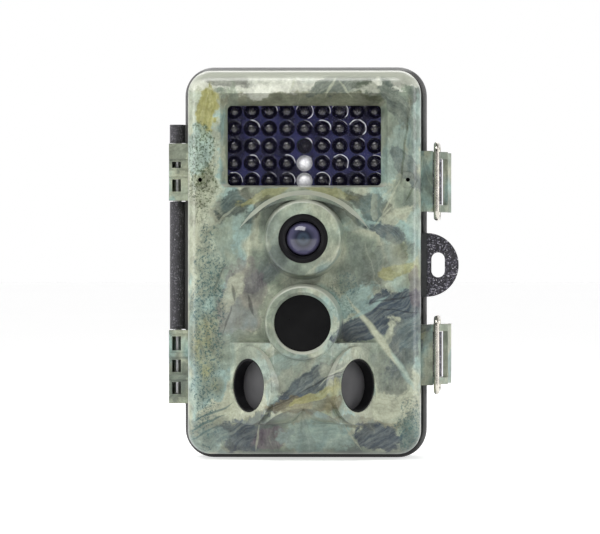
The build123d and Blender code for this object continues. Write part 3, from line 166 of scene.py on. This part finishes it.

# Soft areas of the print, with a few rows of painted light and shade: (x, z) in mm, degrees, length, width,
# colour, how opaque, direction of its fibres.
PATCHES = (
    ((-38, 100), 90, 74, 16, PALE, 0.60, 2),
    # painted shade in a band above the window, then painted light along the top band
    ((0, 123), 0, 60, 6, BROWN, 0.34, 0),
    ((-2, 129.5), 0, 78, 7.5, CREAM, 0.62, 0),
    ((-27, 130), -8, 15, 5, DARK, 0.42, 0),
    ((12, 128), 14, 22, 6, GREY, 0.7, 1),
    ((-10, 127), 10, 18, 4, CREAM, 0.6, 1),
    ((24, 126), -16, 14, 5, MOSS, 0.35, 0),
    ((31, 131), -30, 10, 5, DARK, 0.35, 1),
    ((-33, 119), 86, 16, 5.5, OLIVE, 0.8, 2),
    ((-25, 116), 90, 22, 5, SAGE, 0.6, 2),
    ((33, 118), -62, 26, 5.5, GREY, 0.8, 3),
    ((38, 112), 84, 24, 6, MIST, 0.60, 2),
    ((30, 103), 74, 20, 6, MIST, 0.6, 2),
    ((35, 99), -52, 15, 5, SLATE, 0.55, 3),
    ((33, 108), 84, 24, 9, GREY, 0.34, 2),
    ((-36, 106), 84, 16, 8, MIST, 0.55, 2),
    ((-34, 93), 80, 14, 6, MOSS, 0.38, 2),
    ((-24, 87), 34, 17, 7.5, DARK, 0.55, 1),
    ((-35, 80), 90, 24, 10, PALE, 0.45, 2),
    ((-14, 90), 24, 14, 3.5, OLIVE, 0.5, 1),
    ((8, 92), -14, 20, 3.5, OLIVE, 0.5, 0),
    ((24, 86), -32, 18, 6, DARK, 0.50, 3),
    # painted shade under the hood over the lens
    ((-16, 85), 46, 13, 3, DARK, 0.42, 1),
    ((16, 85), -46, 13, 3, DARK, 0.42, 3),
    ((31, 82), 38, 14, 4, PALE, 0.55, 1),
    ((28, 78), -22, 11, 5, SLATE, 0.65, 3),
    ((37, 76), 82, 20, 5, MIST, 0.5, 2),
    ((-30, 68), 76, 22, 12, SAGE, 0.55, 2),
    ((27, 66), 50, 22, 9, GREY, 0.5, 1),
    ((-15, 62), 24, 16, 6, SLATE, 0.40, 1),
    ((31, 64), 12, 12, 4, OLIVE, 0.55, 0),
    ((-21, 54), 82, 26, 14, MAUVE, 0.40, 2),
    ((-24, 58), 60, 12, 5, PALE, 0.5, 1),
    ((31, 53), 4, 26, 8, SLATE, 0.85, 1),
    ((16, 54), 34, 17, 6.5, MIST, 0.65, 1),
    ((20, 45), 12, 19, 8, SLATE, 0.80, 1),
    ((35, 41), 68, 24, 9, SLATE, 0.55, 1),
    ((38, 58), 90, 12, 4, MAUVE, 0.4, 2),
    ((-11, 54), 60, 12, 5, SAGE, 0.5, 1),
    ((-24, 38), 12, 22, 10, SAGE, 0.55, 0),
    ((-10, 33), 14, 22, 6, MIST, 0.45, 1),
    ((2, 26), 30, 33, 6, SLATE, 0.80, 1),
    ((13, 33), 38, 16, 4.5, PALE, 0.45, 1),
    ((0, 29), 4, 24, 11, GREY, 0.36, 1),
    ((32, 36), 70, 22, 12, SLATE, 0.22, 1),
    ((-24, 17), 18, 19, 8, OLIVE, 0.45, 0),
    ((-24, 18), 20, 20, 9, PALE, 0.85, 0),
    ((1, 19.5), 2, 25, 5.5, BROWN, 0.55, 0),
    ((3, 22), 20, 14, 2.6, OLIVE, 0.6, 1),
    ((29, 19), 8, 22, 7.5, PALE, 0.90, 0),
    ((34, 30), 66, 15, 6, GREY, 0.5, 2),
    ((22, 13), -8, 22, 4, BROWN, 0.40, 0),
    ((-22, 8.5), -6, 15, 9, SLATE, 0.85, 1),
    ((-11, 8), 6, 12, 7, MAUVE, 0.60, 2),
    ((5, 8), -3, 23, 9, MIST, 0.55, 0),
    ((25, 8.5), -8, 15, 9, SLATE, 0.95, 1),
    ((-33, 6), 22, 15, 6, MIST, 0.45, 1),
    ((-31, 10), 4, 16, 9, GREY, 0.36, 1),
    ((36, 8), 78, 15, 6, TEAL, 0.35, 2),
    ((-45, 28), 90, 14, 9, GREY, 0.45, 1),
    ((-45, 107), 90, 14, 9, GREY, 0.45, 1),
)

# Twigs and leaf edges: (x, z) in mm, degrees, length, width, colour, how opaque.
TWIGS = (
    ((26, 41), -53, 41, 2.7, PALE, 0.95),
    ((33.5, 31), -60, 17, 2.6, MIST, 0.55),
    ((22, 52), 32, 16, 2.0, MIST, 0.75),
    ((29, 43.5), 58, 7, 2.2, PALE, 0.6),
    ((-16, 8), 82, 11, 0.9, PALE, 0.60),
    ((16.5, 8), -56, 12, 0.9, PALE, 0.55),
    ((12, 31), 40, 18, 0.8, PALE, 0.60),
    ((6, 27), 26, 22, 0.7, DARK, 0.60),
    ((-6, 21), 24, 16, 0.8, DARK, 0.50),
    ((-26, 48), 74, 11, 0.9, DARK, 0.45),
    ((-18, 53), 108, 8, 1.4, DARK, 0.55),
    ((-24, 57), 100, 7, 1.4, DARK, 0.50),
    ((-29, 62), 62, 12, 0.8, DARK, 0.35),
    ((22, 118), 62, 9, 0.8, PALE, 0.55),
    ((-4, 128.5), 72, 8, 0.9, PALE, 0.60),
    ((9, 127), 60, 9, 1.2, PALE, 0.55),
    ((14, 126.5), -54, 9, 1.0, PALE, 0.45),
    ((30, 90), 66, 14, 1.0, PALE, 0.50),
    ((27, 83), 46, 10, 1.0, PALE, 0.45),
    ((-27, 83), 40, 12, 1.1, PALE, 0.35),
    ((34, 106), 84, 26, 1.0, MOSS, 0.40),
    ((36.5, 92), 60, 10, 0.9, MOSS, 0.40),
    ((30, 55), 8, 20, 0.8, DARK, 0.50),
    ((32, 51), -6, 17, 0.7, DARK, 0.45),
    ((-31, 16), 26, 17, 1.0, TEAL, 0.65),
    ((-33, 12.5), 28, 16, 0.8, TEAL, 0.65),
    ((-34, 9), 30, 13, 0.8, TEAL, 0.55),
)

# Speckled areas, all nearly upright: (x, z) in mm, length, width, colour, how opaque.
SPECKLES = (
    ((-33.0, 42), 66, 10, TEAL, 0.80),
    ((-35, 99), 30, 9, MOSS, 0.75),
    ((36, 10), 20, 8, TEAL, 0.75),
    ((14, 56), 16, 9, TEAL, 0.55),
)


def along_and_across(paint, place, centre, degrees, length, width):
    """Coordinates along and across a shape about its centre, where 1 is its end or its edge."""
    return paint.turned(place, (centre[0], 0, centre[1]), degrees, (2 / length, 0, 2 / width))


def patch(paint, place, ragged, centre, degrees, length, width):
    """How much a point belongs to a soft-edged oval."""
    reach = paint.vector("LENGTH", along_and_across(paint, place, centre, degrees, length, width))
    return paint.smooth(paint.math("ADD", reach, ragged), 1.28, 0.98)


def twig(paint, place, centre, degrees, length, width):
    """How much a point belongs to a thin stroke that narrows towards its ends."""
    along, _, across = paint.split(along_and_across(paint, place, centre, degrees, length, width))
    thin = paint.math("SUBTRACT", 1.0, paint.math("POWER", along, 2.0))
    inside = paint.math("SUBTRACT", thin, paint.math("ABSOLUTE", across))
    return paint.smooth(inside, -0.25, 0.55)


def leaves(paint, place, base, degrees, length, width, share, strength, colours):
    """Scatters soft pointed leaves with a midrib over the base colour, one to a cell of a stretched grid."""
    local = paint.turned(place, (0, 0, 0), degrees, (1 / length, 1 / length, 1 / width))
    cells = paint.add("ShaderNodeTexVoronoi", {"Vector": local, "Scale": 1.0, "Randomness": 0.8})
    along, _, across = paint.split(paint.vector("SUBTRACT", local, cells.outputs["Position"]))
    side = paint.math("ABSOLUTE", across)
    outline = paint.math("SUBTRACT", 0.36, paint.math("MULTIPLY", paint.math("POWER", along, 2.0), 1.9))
    edge = paint.math("SUBTRACT", outline, side)
    chance = paint.split(cells.outputs["Color"])
    kept = paint.math("LESS_THAN", chance[0], share)
    tone = paint.ramp(chance[1], [(i / (len(colours) - 1), c) for i, c in enumerate(colours)])
    shade = paint.ramp(paint.smooth(edge, 0.0, 0.30), [(0, (0.70, 0.70, 0.70)), (1, (1.10, 1.10, 1.10))])
    tone = paint.mix(1.0, tone, shade, "MULTIPLY")
    tone = paint.mix(paint.math("MULTIPLY", paint.smooth(side, 0.035, 0.012), 0.5), tone, PALE)
    mask = paint.math("MULTIPLY", paint.smooth(edge, -0.02, 0.10), kept)
    return paint.mix(paint.math("MULTIPLY", mask, strength), base, tone)


def camouflage():
    paint = Paint("camo_print")
    drift = paint.vector("SUBTRACT", paint.noise(paint.mm, 0.10, 3.0, colour=True), (0.5, 0.5, 0.5))
    place = paint.vector("ADD", paint.mm, paint.vector("SCALE", drift, scale=7.0))
    broad = paint.noise(paint.vector("MULTIPLY", place, (1.0, 1.0, 0.7)), 0.045, 3.0, 0.5)
    grounds = [(0.34, GREY), (0.44, SAGE), (0.52, PALE), (0.58, MIST), (0.66, SAGE), (0.74, OLIVE)]
    colour = paint.ramp(broad, grounds)
    ragged = paint.math("SUBTRACT", paint.noise(paint.mm, 0.38, 4.0, 0.62), 0.5)
    ragged = paint.math("MULTIPLY", ragged, 1.5)

    # fibres that lie level, rising, upright and falling
    fibres = []
    for degrees in (0, 32, 88, -44):
        stretched = paint.turned(place, (0, 0, 0), degrees, (0.10, 0.4, 1.15))
        fibres.append(paint.smooth(paint.noise(stretched, 1.0, 4.0, 0.6), 0.36, 0.66))
    colour = paint.mix(paint.math("MULTIPLY", fibres[2], 0.28), colour, GREY)
    colour = leaves(paint, place, colour, 36, 31.0, 15.0, 0.55, 0.40, (GREY, SAGE, PALE, MIST))
    for centre, degrees, length, width, tone, strength, grain in PATCHES:
        mask = patch(paint, paint.after(colour, place), ragged, centre, degrees, length, width)
        pale = tuple(0.83 * a + 0.17 * b for a, b in zip(tone, PALE))
        deep = tuple(0.84 * a for a in tone)
        streaked = paint.mix(fibres[grain], deep, pale)
        opaque = min(1.0, strength * 1.25)
        colour = paint.mix(paint.math("MULTIPLY", mask, opaque), colour, streaked)
    shifted = paint.vector("ADD", place, (5, 0, 19))
    colour = leaves(paint, shifted, colour, 110, 22.0, 8.0, 0.30, 0.30, (DARK, PALE, GREY))
    straighter = paint.vector("ADD", paint.mm, paint.vector("SCALE", drift, scale=3.0))
    for centre, degrees, length, width, tone, strength in TWIGS:
        mask = twig(paint, paint.after(colour, straighter), centre, degrees, length, width)
        mask = paint.math("MULTIPLY", mask, strength)
        colour = paint.mix(mask, colour, tone)

    # speckle on the bark down the hinge side and on three smaller areas
    speckle = paint.noise(paint.mm, 1.15, 4.0, 0.75)
    dots = paint.smooth(speckle, 0.48, 0.60)
    for centre, length, width, tone, strength in SPECKLES:
        mask = patch(paint, paint.after(colour, place), ragged, centre, 88, length, width)
        colour = paint.mix(paint.math("MULTIPLY", paint.math("MULTIPLY", mask, dots), strength), colour, tone)

    # worn-looking mottle and a fine print grain
    mottle = paint.noise(paint.mm, 0.22, 5.0, 0.65)
    clouds = paint.ramp(mottle, [(0.32, (0.30,) * 3), (0.68, (0.70,) * 3)])
    colour = paint.mix(0.62, colour, clouds, "OVERLAY")
    fine = paint.noise(paint.mm, 1.5, 3.0, 0.6)
    colour = paint.mix(0.28, colour, paint.ramp(fine, [(0.3, (0.33,) * 3), (0.7, (0.72,) * 3)]), "OVERLAY")


    # more contrast about the print's middle tone; painted shade darkens what faces down, and painted light
    # makes what faces up plain and pale
    away = tuple((CONTRAST - 1.0) * c for c in MIDDLE)
    stretched = paint.vector("SUBTRACT", paint.vector("SCALE", colour, scale=CONTRAST), away)
    colour = paint.vector("MAXIMUM", stretched, (0.012, 0.014, 0.012))
    shade = paint.painted_light_by_facing(((0.0, (0.50,) * 3), (0.5, (0.96,) * 3), (1.0, (1.0,) * 3)))
    colour = paint.mix(1.0, colour, shade, "MULTIPLY")
    faces_up = paint.smooth(paint.split(paint.facing)[2], 0.15, 0.75)
    colour = paint.mix(faces_up, colour, PAINTED_SKYLIGHT)
    normal = paint.bump(paint.noise(paint.mm, 2.6, 3.0), 0.07, 0.0002, paint.soft_edges(0.0004))
    roughness = paint.math("ADD", 0.30, paint.math("MULTIPLY", paint.noise(paint.mm, 0.3, 3.0), 0.14))
    return paint.finish(colour, roughness, normal, Coat_Weight=0.45, Coat_Roughness=0.12, IOR=1.5)


# ---- plastics, metals, glass -----------------------------------------------------------------------


def moulded(name, colour, roughness=0.45, grain=1.6, depth=0.25, edges=0.00025, **fixed):
    """Moulded plastic or rubber: slight colour change, a fine grain, and softly rounded edges."""
    paint = Paint(name)
    cloud = paint.noise(paint.mm, 0.12, 4.0)
    low = tuple(c * 0.80 for c in colour)
    high = tuple(min(1.0, c * 1.18 + 0.003) for c in colour)
    tone = paint.ramp(cloud, [(0.3, low), (0.7, high)])
    texture = paint.noise(paint.mm, grain, 3.0, 0.6)
    normal = paint.bump(texture, depth, 0.0002, paint.soft_edges(edges))
    spread = paint.math("ADD", roughness - 0.06, paint.math("MULTIPLY", texture, 0.14))
    return paint.finish(tone, spread, normal, **fixed)


def coarse_black(name, colour):
    """Spark-textured plastic, with painted glints on the coarse grains of the hinge and the lug; the rim is
    finer, painted darker towards its foot and lighter along its top.
    """
    paint = Paint(name)
    grains = paint.add("ShaderNodeTexVoronoi", {"Vector": paint.mm, "Scale": 2.5})
    fine = paint.noise(paint.mm, 3.4, 3.0)
    across, _, up = paint.split(paint.mm)
    side = paint.math("ABSOLUTE", across)
    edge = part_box("rear_shell")[1][0] * 1000
    frame_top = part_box("rear_frame")[1][2] * 1000
    coarse = paint.smooth(side, edge - 0.3, edge + 0.4)
    height = paint.math("SUBTRACT", 1.0, grains.outputs["Distance"])
    height = paint.math("ADD", paint.math("MULTIPLY", height, coarse), paint.math("MULTIPLY", fine, 0.5))
    low = tuple(c * 0.8 for c in colour)
    rim = paint.ramp(paint.noise(paint.mm, 0.15, 4.0, 0.6), [(0.3, low), (0.7, colour)])
    # painted shade darkens the rim towards its foot, and a painted highlight lightens a band along its top
    height_share = paint.math("DIVIDE", up, frame_top)
    painted_foot_shade = [(0.0, (0.05,) * 3), (0.015, (0.08,) * 3), (0.05, (0.75,) * 3), (0.97, (1.0,) * 3)]
    rim = paint.mix(1.0, rim, paint.ramp(height_share, painted_foot_shade), "MULTIPLY")
    top = paint.math("MULTIPLY", paint.smooth(height_share, 0.982, 0.996), 0.6)
    rim = paint.mix(top, rim, (0.42, 0.42, 0.42))
    # painted glints: the brightest grains are coloured nearly white, muted on the hinge side
    glint = paint.split(grains.outputs["Color"])[0]
    sparks = [(0.0, (0.010, 0.009, 0.013)), (0.66, (0.026, 0.023, 0.032)),
              (0.86, (0.12, 0.11, 0.15)), (1.0, (0.45, 0.43, 0.48))]
    spark = paint.ramp(glint, sparks)
    hinge_side = paint.smooth(across, 10.0, -10.0)
    spark = paint.mix(paint.math("MULTIPLY", hinge_side, 0.75), spark, (0.020, 0.019, 0.023))
    tone = paint.mix(coarse, rim, spark)
    normal = paint.bump(height, 0.55, 0.0003, paint.soft_edges(0.0003))
    gloss = paint.math("SUBTRACT", 0.42, paint.math("MULTIPLY", coarse, 0.10))
    return paint.finish(tone, gloss, normal)


def metal(name, colour, roughness, stretch=(1, 1, 1), scale=0.8):
    """Plated or turned metal with fine marks along one direction and a little tarnish."""
    paint = Paint(name)
    marks = paint.noise(paint.vector("MULTIPLY", paint.mm, stretch), scale, 4.0, 0.7)
    tarnish = paint.noise(paint.mm, 0.35, 3.0)
    low = tuple(c * 0.72 for c in colour)
    tone = paint.ramp(tarnish, [(0.35, low), (0.6, colour)])
    spread = paint.math("ADD", roughness, paint.math("MULTIPLY", marks, 0.16))
    normal = paint.bump(marks, 0.06, 0.0001, paint.soft_edges(0.00012))
    return paint.finish(tone, spread, normal, Metallic=1.0)


def glassy(name, colour, roughness, alpha):
    """A thin clear or tinted cover, with faint smears in its gloss."""
    paint = Paint(name)
    smear = paint.noise(paint.vector("MULTIPLY", paint.mm, (0.3, 1.0, 1.0)), 0.5, 4.0)
    deep = tuple(c * 0.85 for c in colour)
    tone = paint.ramp(paint.noise(paint.mm, 0.05, 2.0), [(0.3, colour), (0.7, deep)])
    gloss = paint.math("ADD", roughness, paint.math("MULTIPLY", smear, 0.02))
    paint.set(paint.shader.inputs["Alpha"], alpha)
    return paint.finish(tone, gloss, None, IOR=1.5)


LAMP_COLUMNS, LAMP_ROWS = 9, 5
LAMP_RADIUS = 2.5  # mm


def from_lamp(paint):
    """Offset in mm from the nearest lamp of the array, and a number of its own for each lamp."""
    low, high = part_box("lamp_reflector")
    centre = tuple(500 * (a + b) for a, b in zip(low, high))
    wide = (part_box("infrared_leds")[1][0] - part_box("infrared_leds")[0][0]) * 1000
    tall = (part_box("infrared_leds")[1][2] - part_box("infrared_leds")[0][2]) * 1000
    flange = (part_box("status_leds")[1][0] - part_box("status_leds")[0][0]) * 1000
    across, up = (wide - flange) / (LAMP_COLUMNS - 1), (tall - flange) / (LAMP_ROWS - 1)
    local = paint.vector("MULTIPLY", paint.vector("SUBTRACT", paint.mm, centre), (1 / across, 0, 1 / up))
    index = paint.vector("FLOOR", paint.vector("ADD", local, (0.5, 0.5, 0.5)))
    offset = paint.vector("MULTIPLY", paint.vector("SUBTRACT", local, index), (across, 0, up))
    own = paint.add("ShaderNodeTexWhiteNoise", {"Vector": index}).outputs[0]
    return offset, own


def lamp_panel():
    """Glossy violet-black reflector panel, with painted sheen and painted highlights: bright crescents where
    the cups' edges would catch the light.
    """
    paint = Paint("led_panel")
    offset, own = from_lamp(paint)
    # painted sheen: the panel's tone goes between near black and lighter violet
    sheen = paint.noise(paint.mm, 0.11, 3.0)
    tone = paint.ramp(sheen, [(0.35, (0.004, 0.004, 0.014)), (0.65, (0.022, 0.024, 0.085))])
    # painted highlights: a bright crescent on the upper right of each cup's edge, different for each lamp
    dx, _, dz = paint.split(offset)
    reach = paint.vector("LENGTH", offset)
    wobble = paint.math("MULTIPLY", paint.noise(paint.mm, 0.30, 1.0), 0.9)
    bend = paint.math("ABSOLUTE", paint.math("SUBTRACT", reach, paint.math("ADD", wobble, 2.40)))
    ring = paint.smooth(bend, 0.15, 0.05)
    facing = paint.math("ADD", paint.math("MULTIPLY", dx, 0.62), paint.math("MULTIPLY", dz, 0.78))
    start = paint.math("SUBTRACT", 0.97, paint.math("MULTIPLY", paint.math("POWER", own, 5.0), 1.5))
    arc = paint.smooth(paint.math("SUBTRACT", paint.math("DIVIDE", facing, reach), start), -0.10, 0.12)
    glint = paint.math("MULTIPLY", paint.math("MULTIPLY", ring, arc), paint.smooth(own, 0.05, 0.75))
    tone = paint.mix(glint, tone, (0.95, 0.95, 1.0))
    normal = paint.bump(paint.noise(paint.mm, 0.5, 2.0), 0.08, 0.0003, paint.soft_edges(0.0002))
    gloss = paint.math("ADD", 0.10, paint.math("MULTIPLY", paint.noise(paint.mm, 0.7, 3.0), 0.12))
    return paint.finish(tone, gloss, normal, Coat_Weight=0.3, Coat_Roughness=0.05)


def dark_lamp():
    """Dark infrared resin: near black, very glossy, with the paler chip showing inside the dome and a painted
    highlight at its very middle.
    """
    paint = Paint("led_dark")
    offset, own = from_lamp(paint)
    reach = paint.math("DIVIDE", paint.vector("LENGTH", offset), LAMP_RADIUS)
    # the first stop is a painted highlight at the middle of each dome; the paler stops around it are the chip
    rings = [(0.0, (0.42, 0.41, 0.38)), (0.10, (0.050, 0.048, 0.044)), (0.36, (0.036, 0.035, 0.033)),
             (0.44, (0.003, 0.003, 0.004)), (1.0, (0.001, 0.001, 0.002))]
    tone = paint.ramp(reach, rings)
    tone = paint.mix(paint.math("MULTIPLY", own, 0.35), tone, (0.010, 0.010, 0.012))
    gloss = paint.math("ADD", 0.12, paint.math("MULTIPLY", paint.noise(paint.mm, 0.8, 2.0), 0.08))
    return paint.finish(tone, gloss, None, Coat_Weight=0.15, Coat_Roughness=0.03)


def clear_lamp():
    """Water-clear lamp resin, which gives off a little light so that it reads as bright as in the photo."""
    paint = Paint("led_clear")
    cloud = paint.noise(paint.mm, 0.9, 3.0)
    tone = paint.ramp(cloud, [(0.35, (0.50, 0.50, 0.52)), (0.6, (0.95, 0.95, 0.96))])
    paint.set(paint.shader.inputs["Emission Color"], (1.0, 1.0, 1.0))
    paint.shader.inputs["Emission Strength"].default_value = 0.22
    gloss = paint.math("ADD", 0.06, paint.math("MULTIPLY", cloud, 0.1))
    return paint.finish(tone, gloss, None, Coat_Weight=0.5)


def coated_lens():
    """Camera lens with a violet and blue coating that changes from the middle to the edge."""
    paint = Paint("lens_glass")
    low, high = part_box("lens_dome")
    centre = tuple((a + b) / 2 for a, b in zip(low, high))
    offset = paint.vector("SUBTRACT", paint.metres, centre)
    reach = paint.vector("LENGTH", paint.vector("MULTIPLY", offset, (1, 0, 1)))
    ring = paint.math("DIVIDE", reach, (high[0] - low[0]) / 2)
    wave = paint.math("ADD", ring, paint.math("MULTIPLY", paint.noise(paint.mm, 0.25, 2.0), 0.08))
    tone = paint.ramp(
        wave,
        [(0.0, (0.012, 0.018, 0.026)), (0.28, (0.040, 0.056, 0.082)), (0.46, (0.018, 0.021, 0.036)),
         (0.68, (0.062, 0.062, 0.112)), (0.86, (0.105, 0.100, 0.18)), (1.0, (0.005, 0.005, 0.008))],
    )
    gloss = paint.math("ADD", 0.05, paint.math("MULTIPLY", paint.noise(paint.mm, 0.8, 3.0), 0.05))
    return paint.finish(tone, gloss, None, Coat_Weight=0.3, Coat_Roughness=0.06)


def circuit_board():
    paint = Paint("board_green")
    tracks = paint.add("ShaderNodeTexBrick", {
        "Vector": paint.turned(paint.mm, (0, 0, 0), 45), "Color1": (0.012, 0.10, 0.05),
        "Color2": (0.02, 0.13, 0.065), "Mortar": (0.03, 0.20, 0.10), "Scale": 0.35, "Mortar Size": 0.02,
    })
    blotches = paint.smooth(paint.noise(paint.mm, 0.4, 4.0), 0.55, 0.6)
    tone = paint.mix(blotches, tracks.outputs[0], (0.008, 0.06, 0.035))
    return paint.finish(tone, 0.28, paint.bump(tracks.outputs[1], 0.2, 0.0001))


def cell_wrap():
    """Printed foil sleeve: dark body, silver and gold bands."""
    paint = Paint("cell_wrap")
    _, _, z = paint.split(paint.mm)
    low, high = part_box("battery_cells")
    share = paint.math("DIVIDE", paint.math("SUBTRACT", z, low[2] * 1000), (high[2] - low[2]) * 1000)
    silver, body, gold = (0.35, 0.32, 0.28), (0.03, 0.05, 0.045), (0.42, 0.30, 0.07)
    bands = [(0.0, silver), (0.09, body), (0.40, body), (0.41, gold), (0.455, gold),
             (0.53, silver), (0.62, body), (0.93, gold), (0.98, (0.6, 0.6, 0.58))]
    tone = paint.ramp(share, bands, "CONSTANT")
    rubbed = paint.ramp(paint.noise(paint.mm, 0.3, 3.0), [(0.3, (0.3,) * 3), (0.7, (0.7,) * 3)])
    tone = paint.mix(0.25, tone, rubbed, "OVERLAY")
    gloss = paint.math("ADD", 0.22, paint.math("MULTIPLY", paint.noise(paint.mm, 0.6), 0.12))
    return paint.finish(tone, gloss, None, Metallic=0.35)


def screen_face():
    """A switched-off colour screen: black with a faint blue cast."""
    paint = Paint("screen_body")
    cloud = paint.noise(paint.mm, 0.05, 2.0)
    tone = paint.ramp(cloud, [(0.3, (0.008, 0.010, 0.014)), (0.7, (0.018, 0.022, 0.032))])
    gloss = paint.math("ADD", 0.07, paint.math("MULTIPLY", paint.noise(paint.mm, 0.4), 0.06))
    return paint.finish(tone, gloss, None)


finishes = {
    "camo_print": camouflage(),
    "black_plastic": moulded("black_plastic", (0.006, 0.006, 0.007), 0.30, Specular_IOR_Level=0.15),
    "textured_black": coarse_black("textured_black", (0.105, 0.104, 0.104)),
    "seal_rubber": moulded("seal_rubber", (0.020, 0.020, 0.021), 0.62, 1.0),
    "cell_wrap": cell_wrap(),
    "spring_wire": metal("spring_wire", (0.72, 0.71, 0.68), 0.22),
    "steel": metal("steel", (0.60, 0.60, 0.61), 0.24, (1, 1, 0.1)),
    "latch_wire": metal("latch_wire", (0.60, 0.575, 0.51), 0.17, (1, 0.12, 0.12), 1.4),
    "brass_insert": metal("brass_insert", (0.72, 0.52, 0.24), 0.24, (0.2, 0.2, 2.0)),
    "board_green": circuit_board(),
    "chip_black": moulded("chip_black", (0.018, 0.018, 0.019), 0.38, 1.2, 0.15),
    "clear_window": glassy("clear_window", (0.06, 0.055, 0.13), 0.03, 0.04),
    "led_panel": lamp_panel(),
    "led_dark": dark_lamp(),
    "led_clear": clear_lamp(),
    "lens_glass": coated_lens(),
    "pir_black": moulded("pir_black", (0.0030, 0.0030, 0.0034), 0.18, 0.8, 0.05, Specular_IOR_Level=0.12),
    "pir_grey": moulded("pir_grey", (0.062, 0.061, 0.064), 0.35, 0.8, 0.08, Specular_IOR_Level=0.3),
    "sensor_can": metal("sensor_can", (0.68, 0.67, 0.62), 0.25),
    "panel_grey": coarse_black("panel_grey", (0.040, 0.041, 0.043)),
    "screen_glass": glassy("screen_glass", (0.10, 0.11, 0.13), 0.03, 0.22),
    "screen_body": screen_face(),
    "key_rubber": moulded("key_rubber", (0.11, 0.11, 0.115), 0.55, 1.4),
    "card_blue": moulded("card_blue", (0.03, 0.05, 0.17), 0.40, 1.4),
}
slots = {part["node"]: part["material_slot"] for part in frame["record"]["subparts"]}
for name, thing in nodes.items():
    thing.data.materials.clear()
    thing.data.materials.append(finishes[slots[name]])


# ---- floor, light and camera -----------------------------------------------------------------------


def area_light(name, place, aim, size, power, colour=(1, 1, 1)):
    data = bpy.data.lights.new(name, "AREA")
    data.shape = "RECTANGLE"
    data.size, data.size_y = size
    data.energy = power
    data.color = colour
    light = bpy.data.objects.new(name, data)
    light.location = place
    light.rotation_euler = (Vector(aim) - Vector(place)).to_track_quat("-Z", "Y").to_euler()
    bpy.context.scene.collection.objects.link(light)


def white_floor():
    mesh = bmesh.new()
    bmesh.ops.create_grid(mesh, x_segments=2, y_segments=2, size=30.0)
    data = bpy.data.meshes.new("floor")
    mesh.to_mesh(data)
    mesh.free()
    floor = bpy.data.objects.new("floor", data)
    bpy.context.scene.collection.objects.link(floor)
    paint = Paint("floor_white")
    cloud = paint.noise(paint.metres, 1.5, 2.0)
    tone = paint.ramp(cloud, [(0.3, (0.93, 0.93, 0.93)), (0.7, (0.96, 0.96, 0.96))])
    paint.set(paint.shader.inputs["Emission Color"], (1.0, 1.0, 1.0))
    paint.shader.inputs["Emission Strength"].default_value = 0.55
    floor.data.materials.append(paint.finish(tone, 0.9))


def studio_world():
    """White behind the object and beside it, dim in front of it and overhead."""
    world = bpy.data.worlds.new("studio")
    world.use_nodes = True
    tree = world.node_tree
    background = tree.nodes["Background"]
    place = tree.nodes.new("ShaderNodeTexCoord")
    split = tree.nodes.new("ShaderNodeSeparateXYZ")
    tree.links.new(place.outputs["Generated"], split.inputs[0])
    strengths = []
    for axis, settings in (("Y", (-0.75, 0.55, 0.06, 1.0)), ("Z", (0.72, 0.93, 1.0, 0.15))):
        ramp = tree.nodes.new("ShaderNodeMapRange")
        tree.links.new(split.outputs[axis], ramp.inputs["Value"])
        for key, value in zip(("From Min", "From Max", "To Min", "To Max"), settings):
            ramp.inputs[key].default_value = value
        strengths.append(ramp.outputs[0])
    product = tree.nodes.new("ShaderNodeMath")
    product.operation = "MULTIPLY"
    tree.links.new(strengths[0], product.inputs[0])
    tree.links.new(strengths[1], product.inputs[1])
    tree.links.new(product.outputs[0], background.inputs["Strength"])
    background.inputs["Color"].default_value = (1.0, 1.0, 1.0, 1.0)
    return world


white_floor()
middle = Vector((-0.00208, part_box("gasket")[0][1], 0.06587))
area_light("key_top", (-0.25, -0.70, 0.85), middle, (0.8, 0.35), 6.1)
area_light("fill_left", (-0.95, -0.35, 0.25), middle, (0.35, 0.8), 3.2)
area_light("fill_right", (0.95, -0.35, 0.30), middle, (0.35, 0.8), 3.2)
area_light("back_top", (0.0, 0.8, 0.9), middle, (1.2, 0.6), 4.0)
world = studio_world()
scene = bpy.context.scene
scene.world = world
scene.view_settings.view_transform = "Standard"

camera_data = bpy.data.cameras.new("camera")
camera = bpy.data.objects.new("camera", camera_data)
scene.collection.objects.link(camera)
scene.camera = camera
PHOTO_WIDTH = 600  # px
MM_PER_PX = 0.3461
VIEW_WIDTH = PHOTO_WIDTH * MM_PER_PX * MM  # what the frame's width covers at the seam
DISTANCE = 1.6
TURN = radians(1.7)
camera_data.sensor_width = 36.0
camera_data.lens = 36.0 * DISTANCE / VIEW_WIDTH
camera.location = middle + DISTANCE * Vector((sin(TURN), -cos(TURN), 0.0))
camera.rotation_euler = (pi / 2, 0.0, TURN)
camera_data.clip_end = 20.0
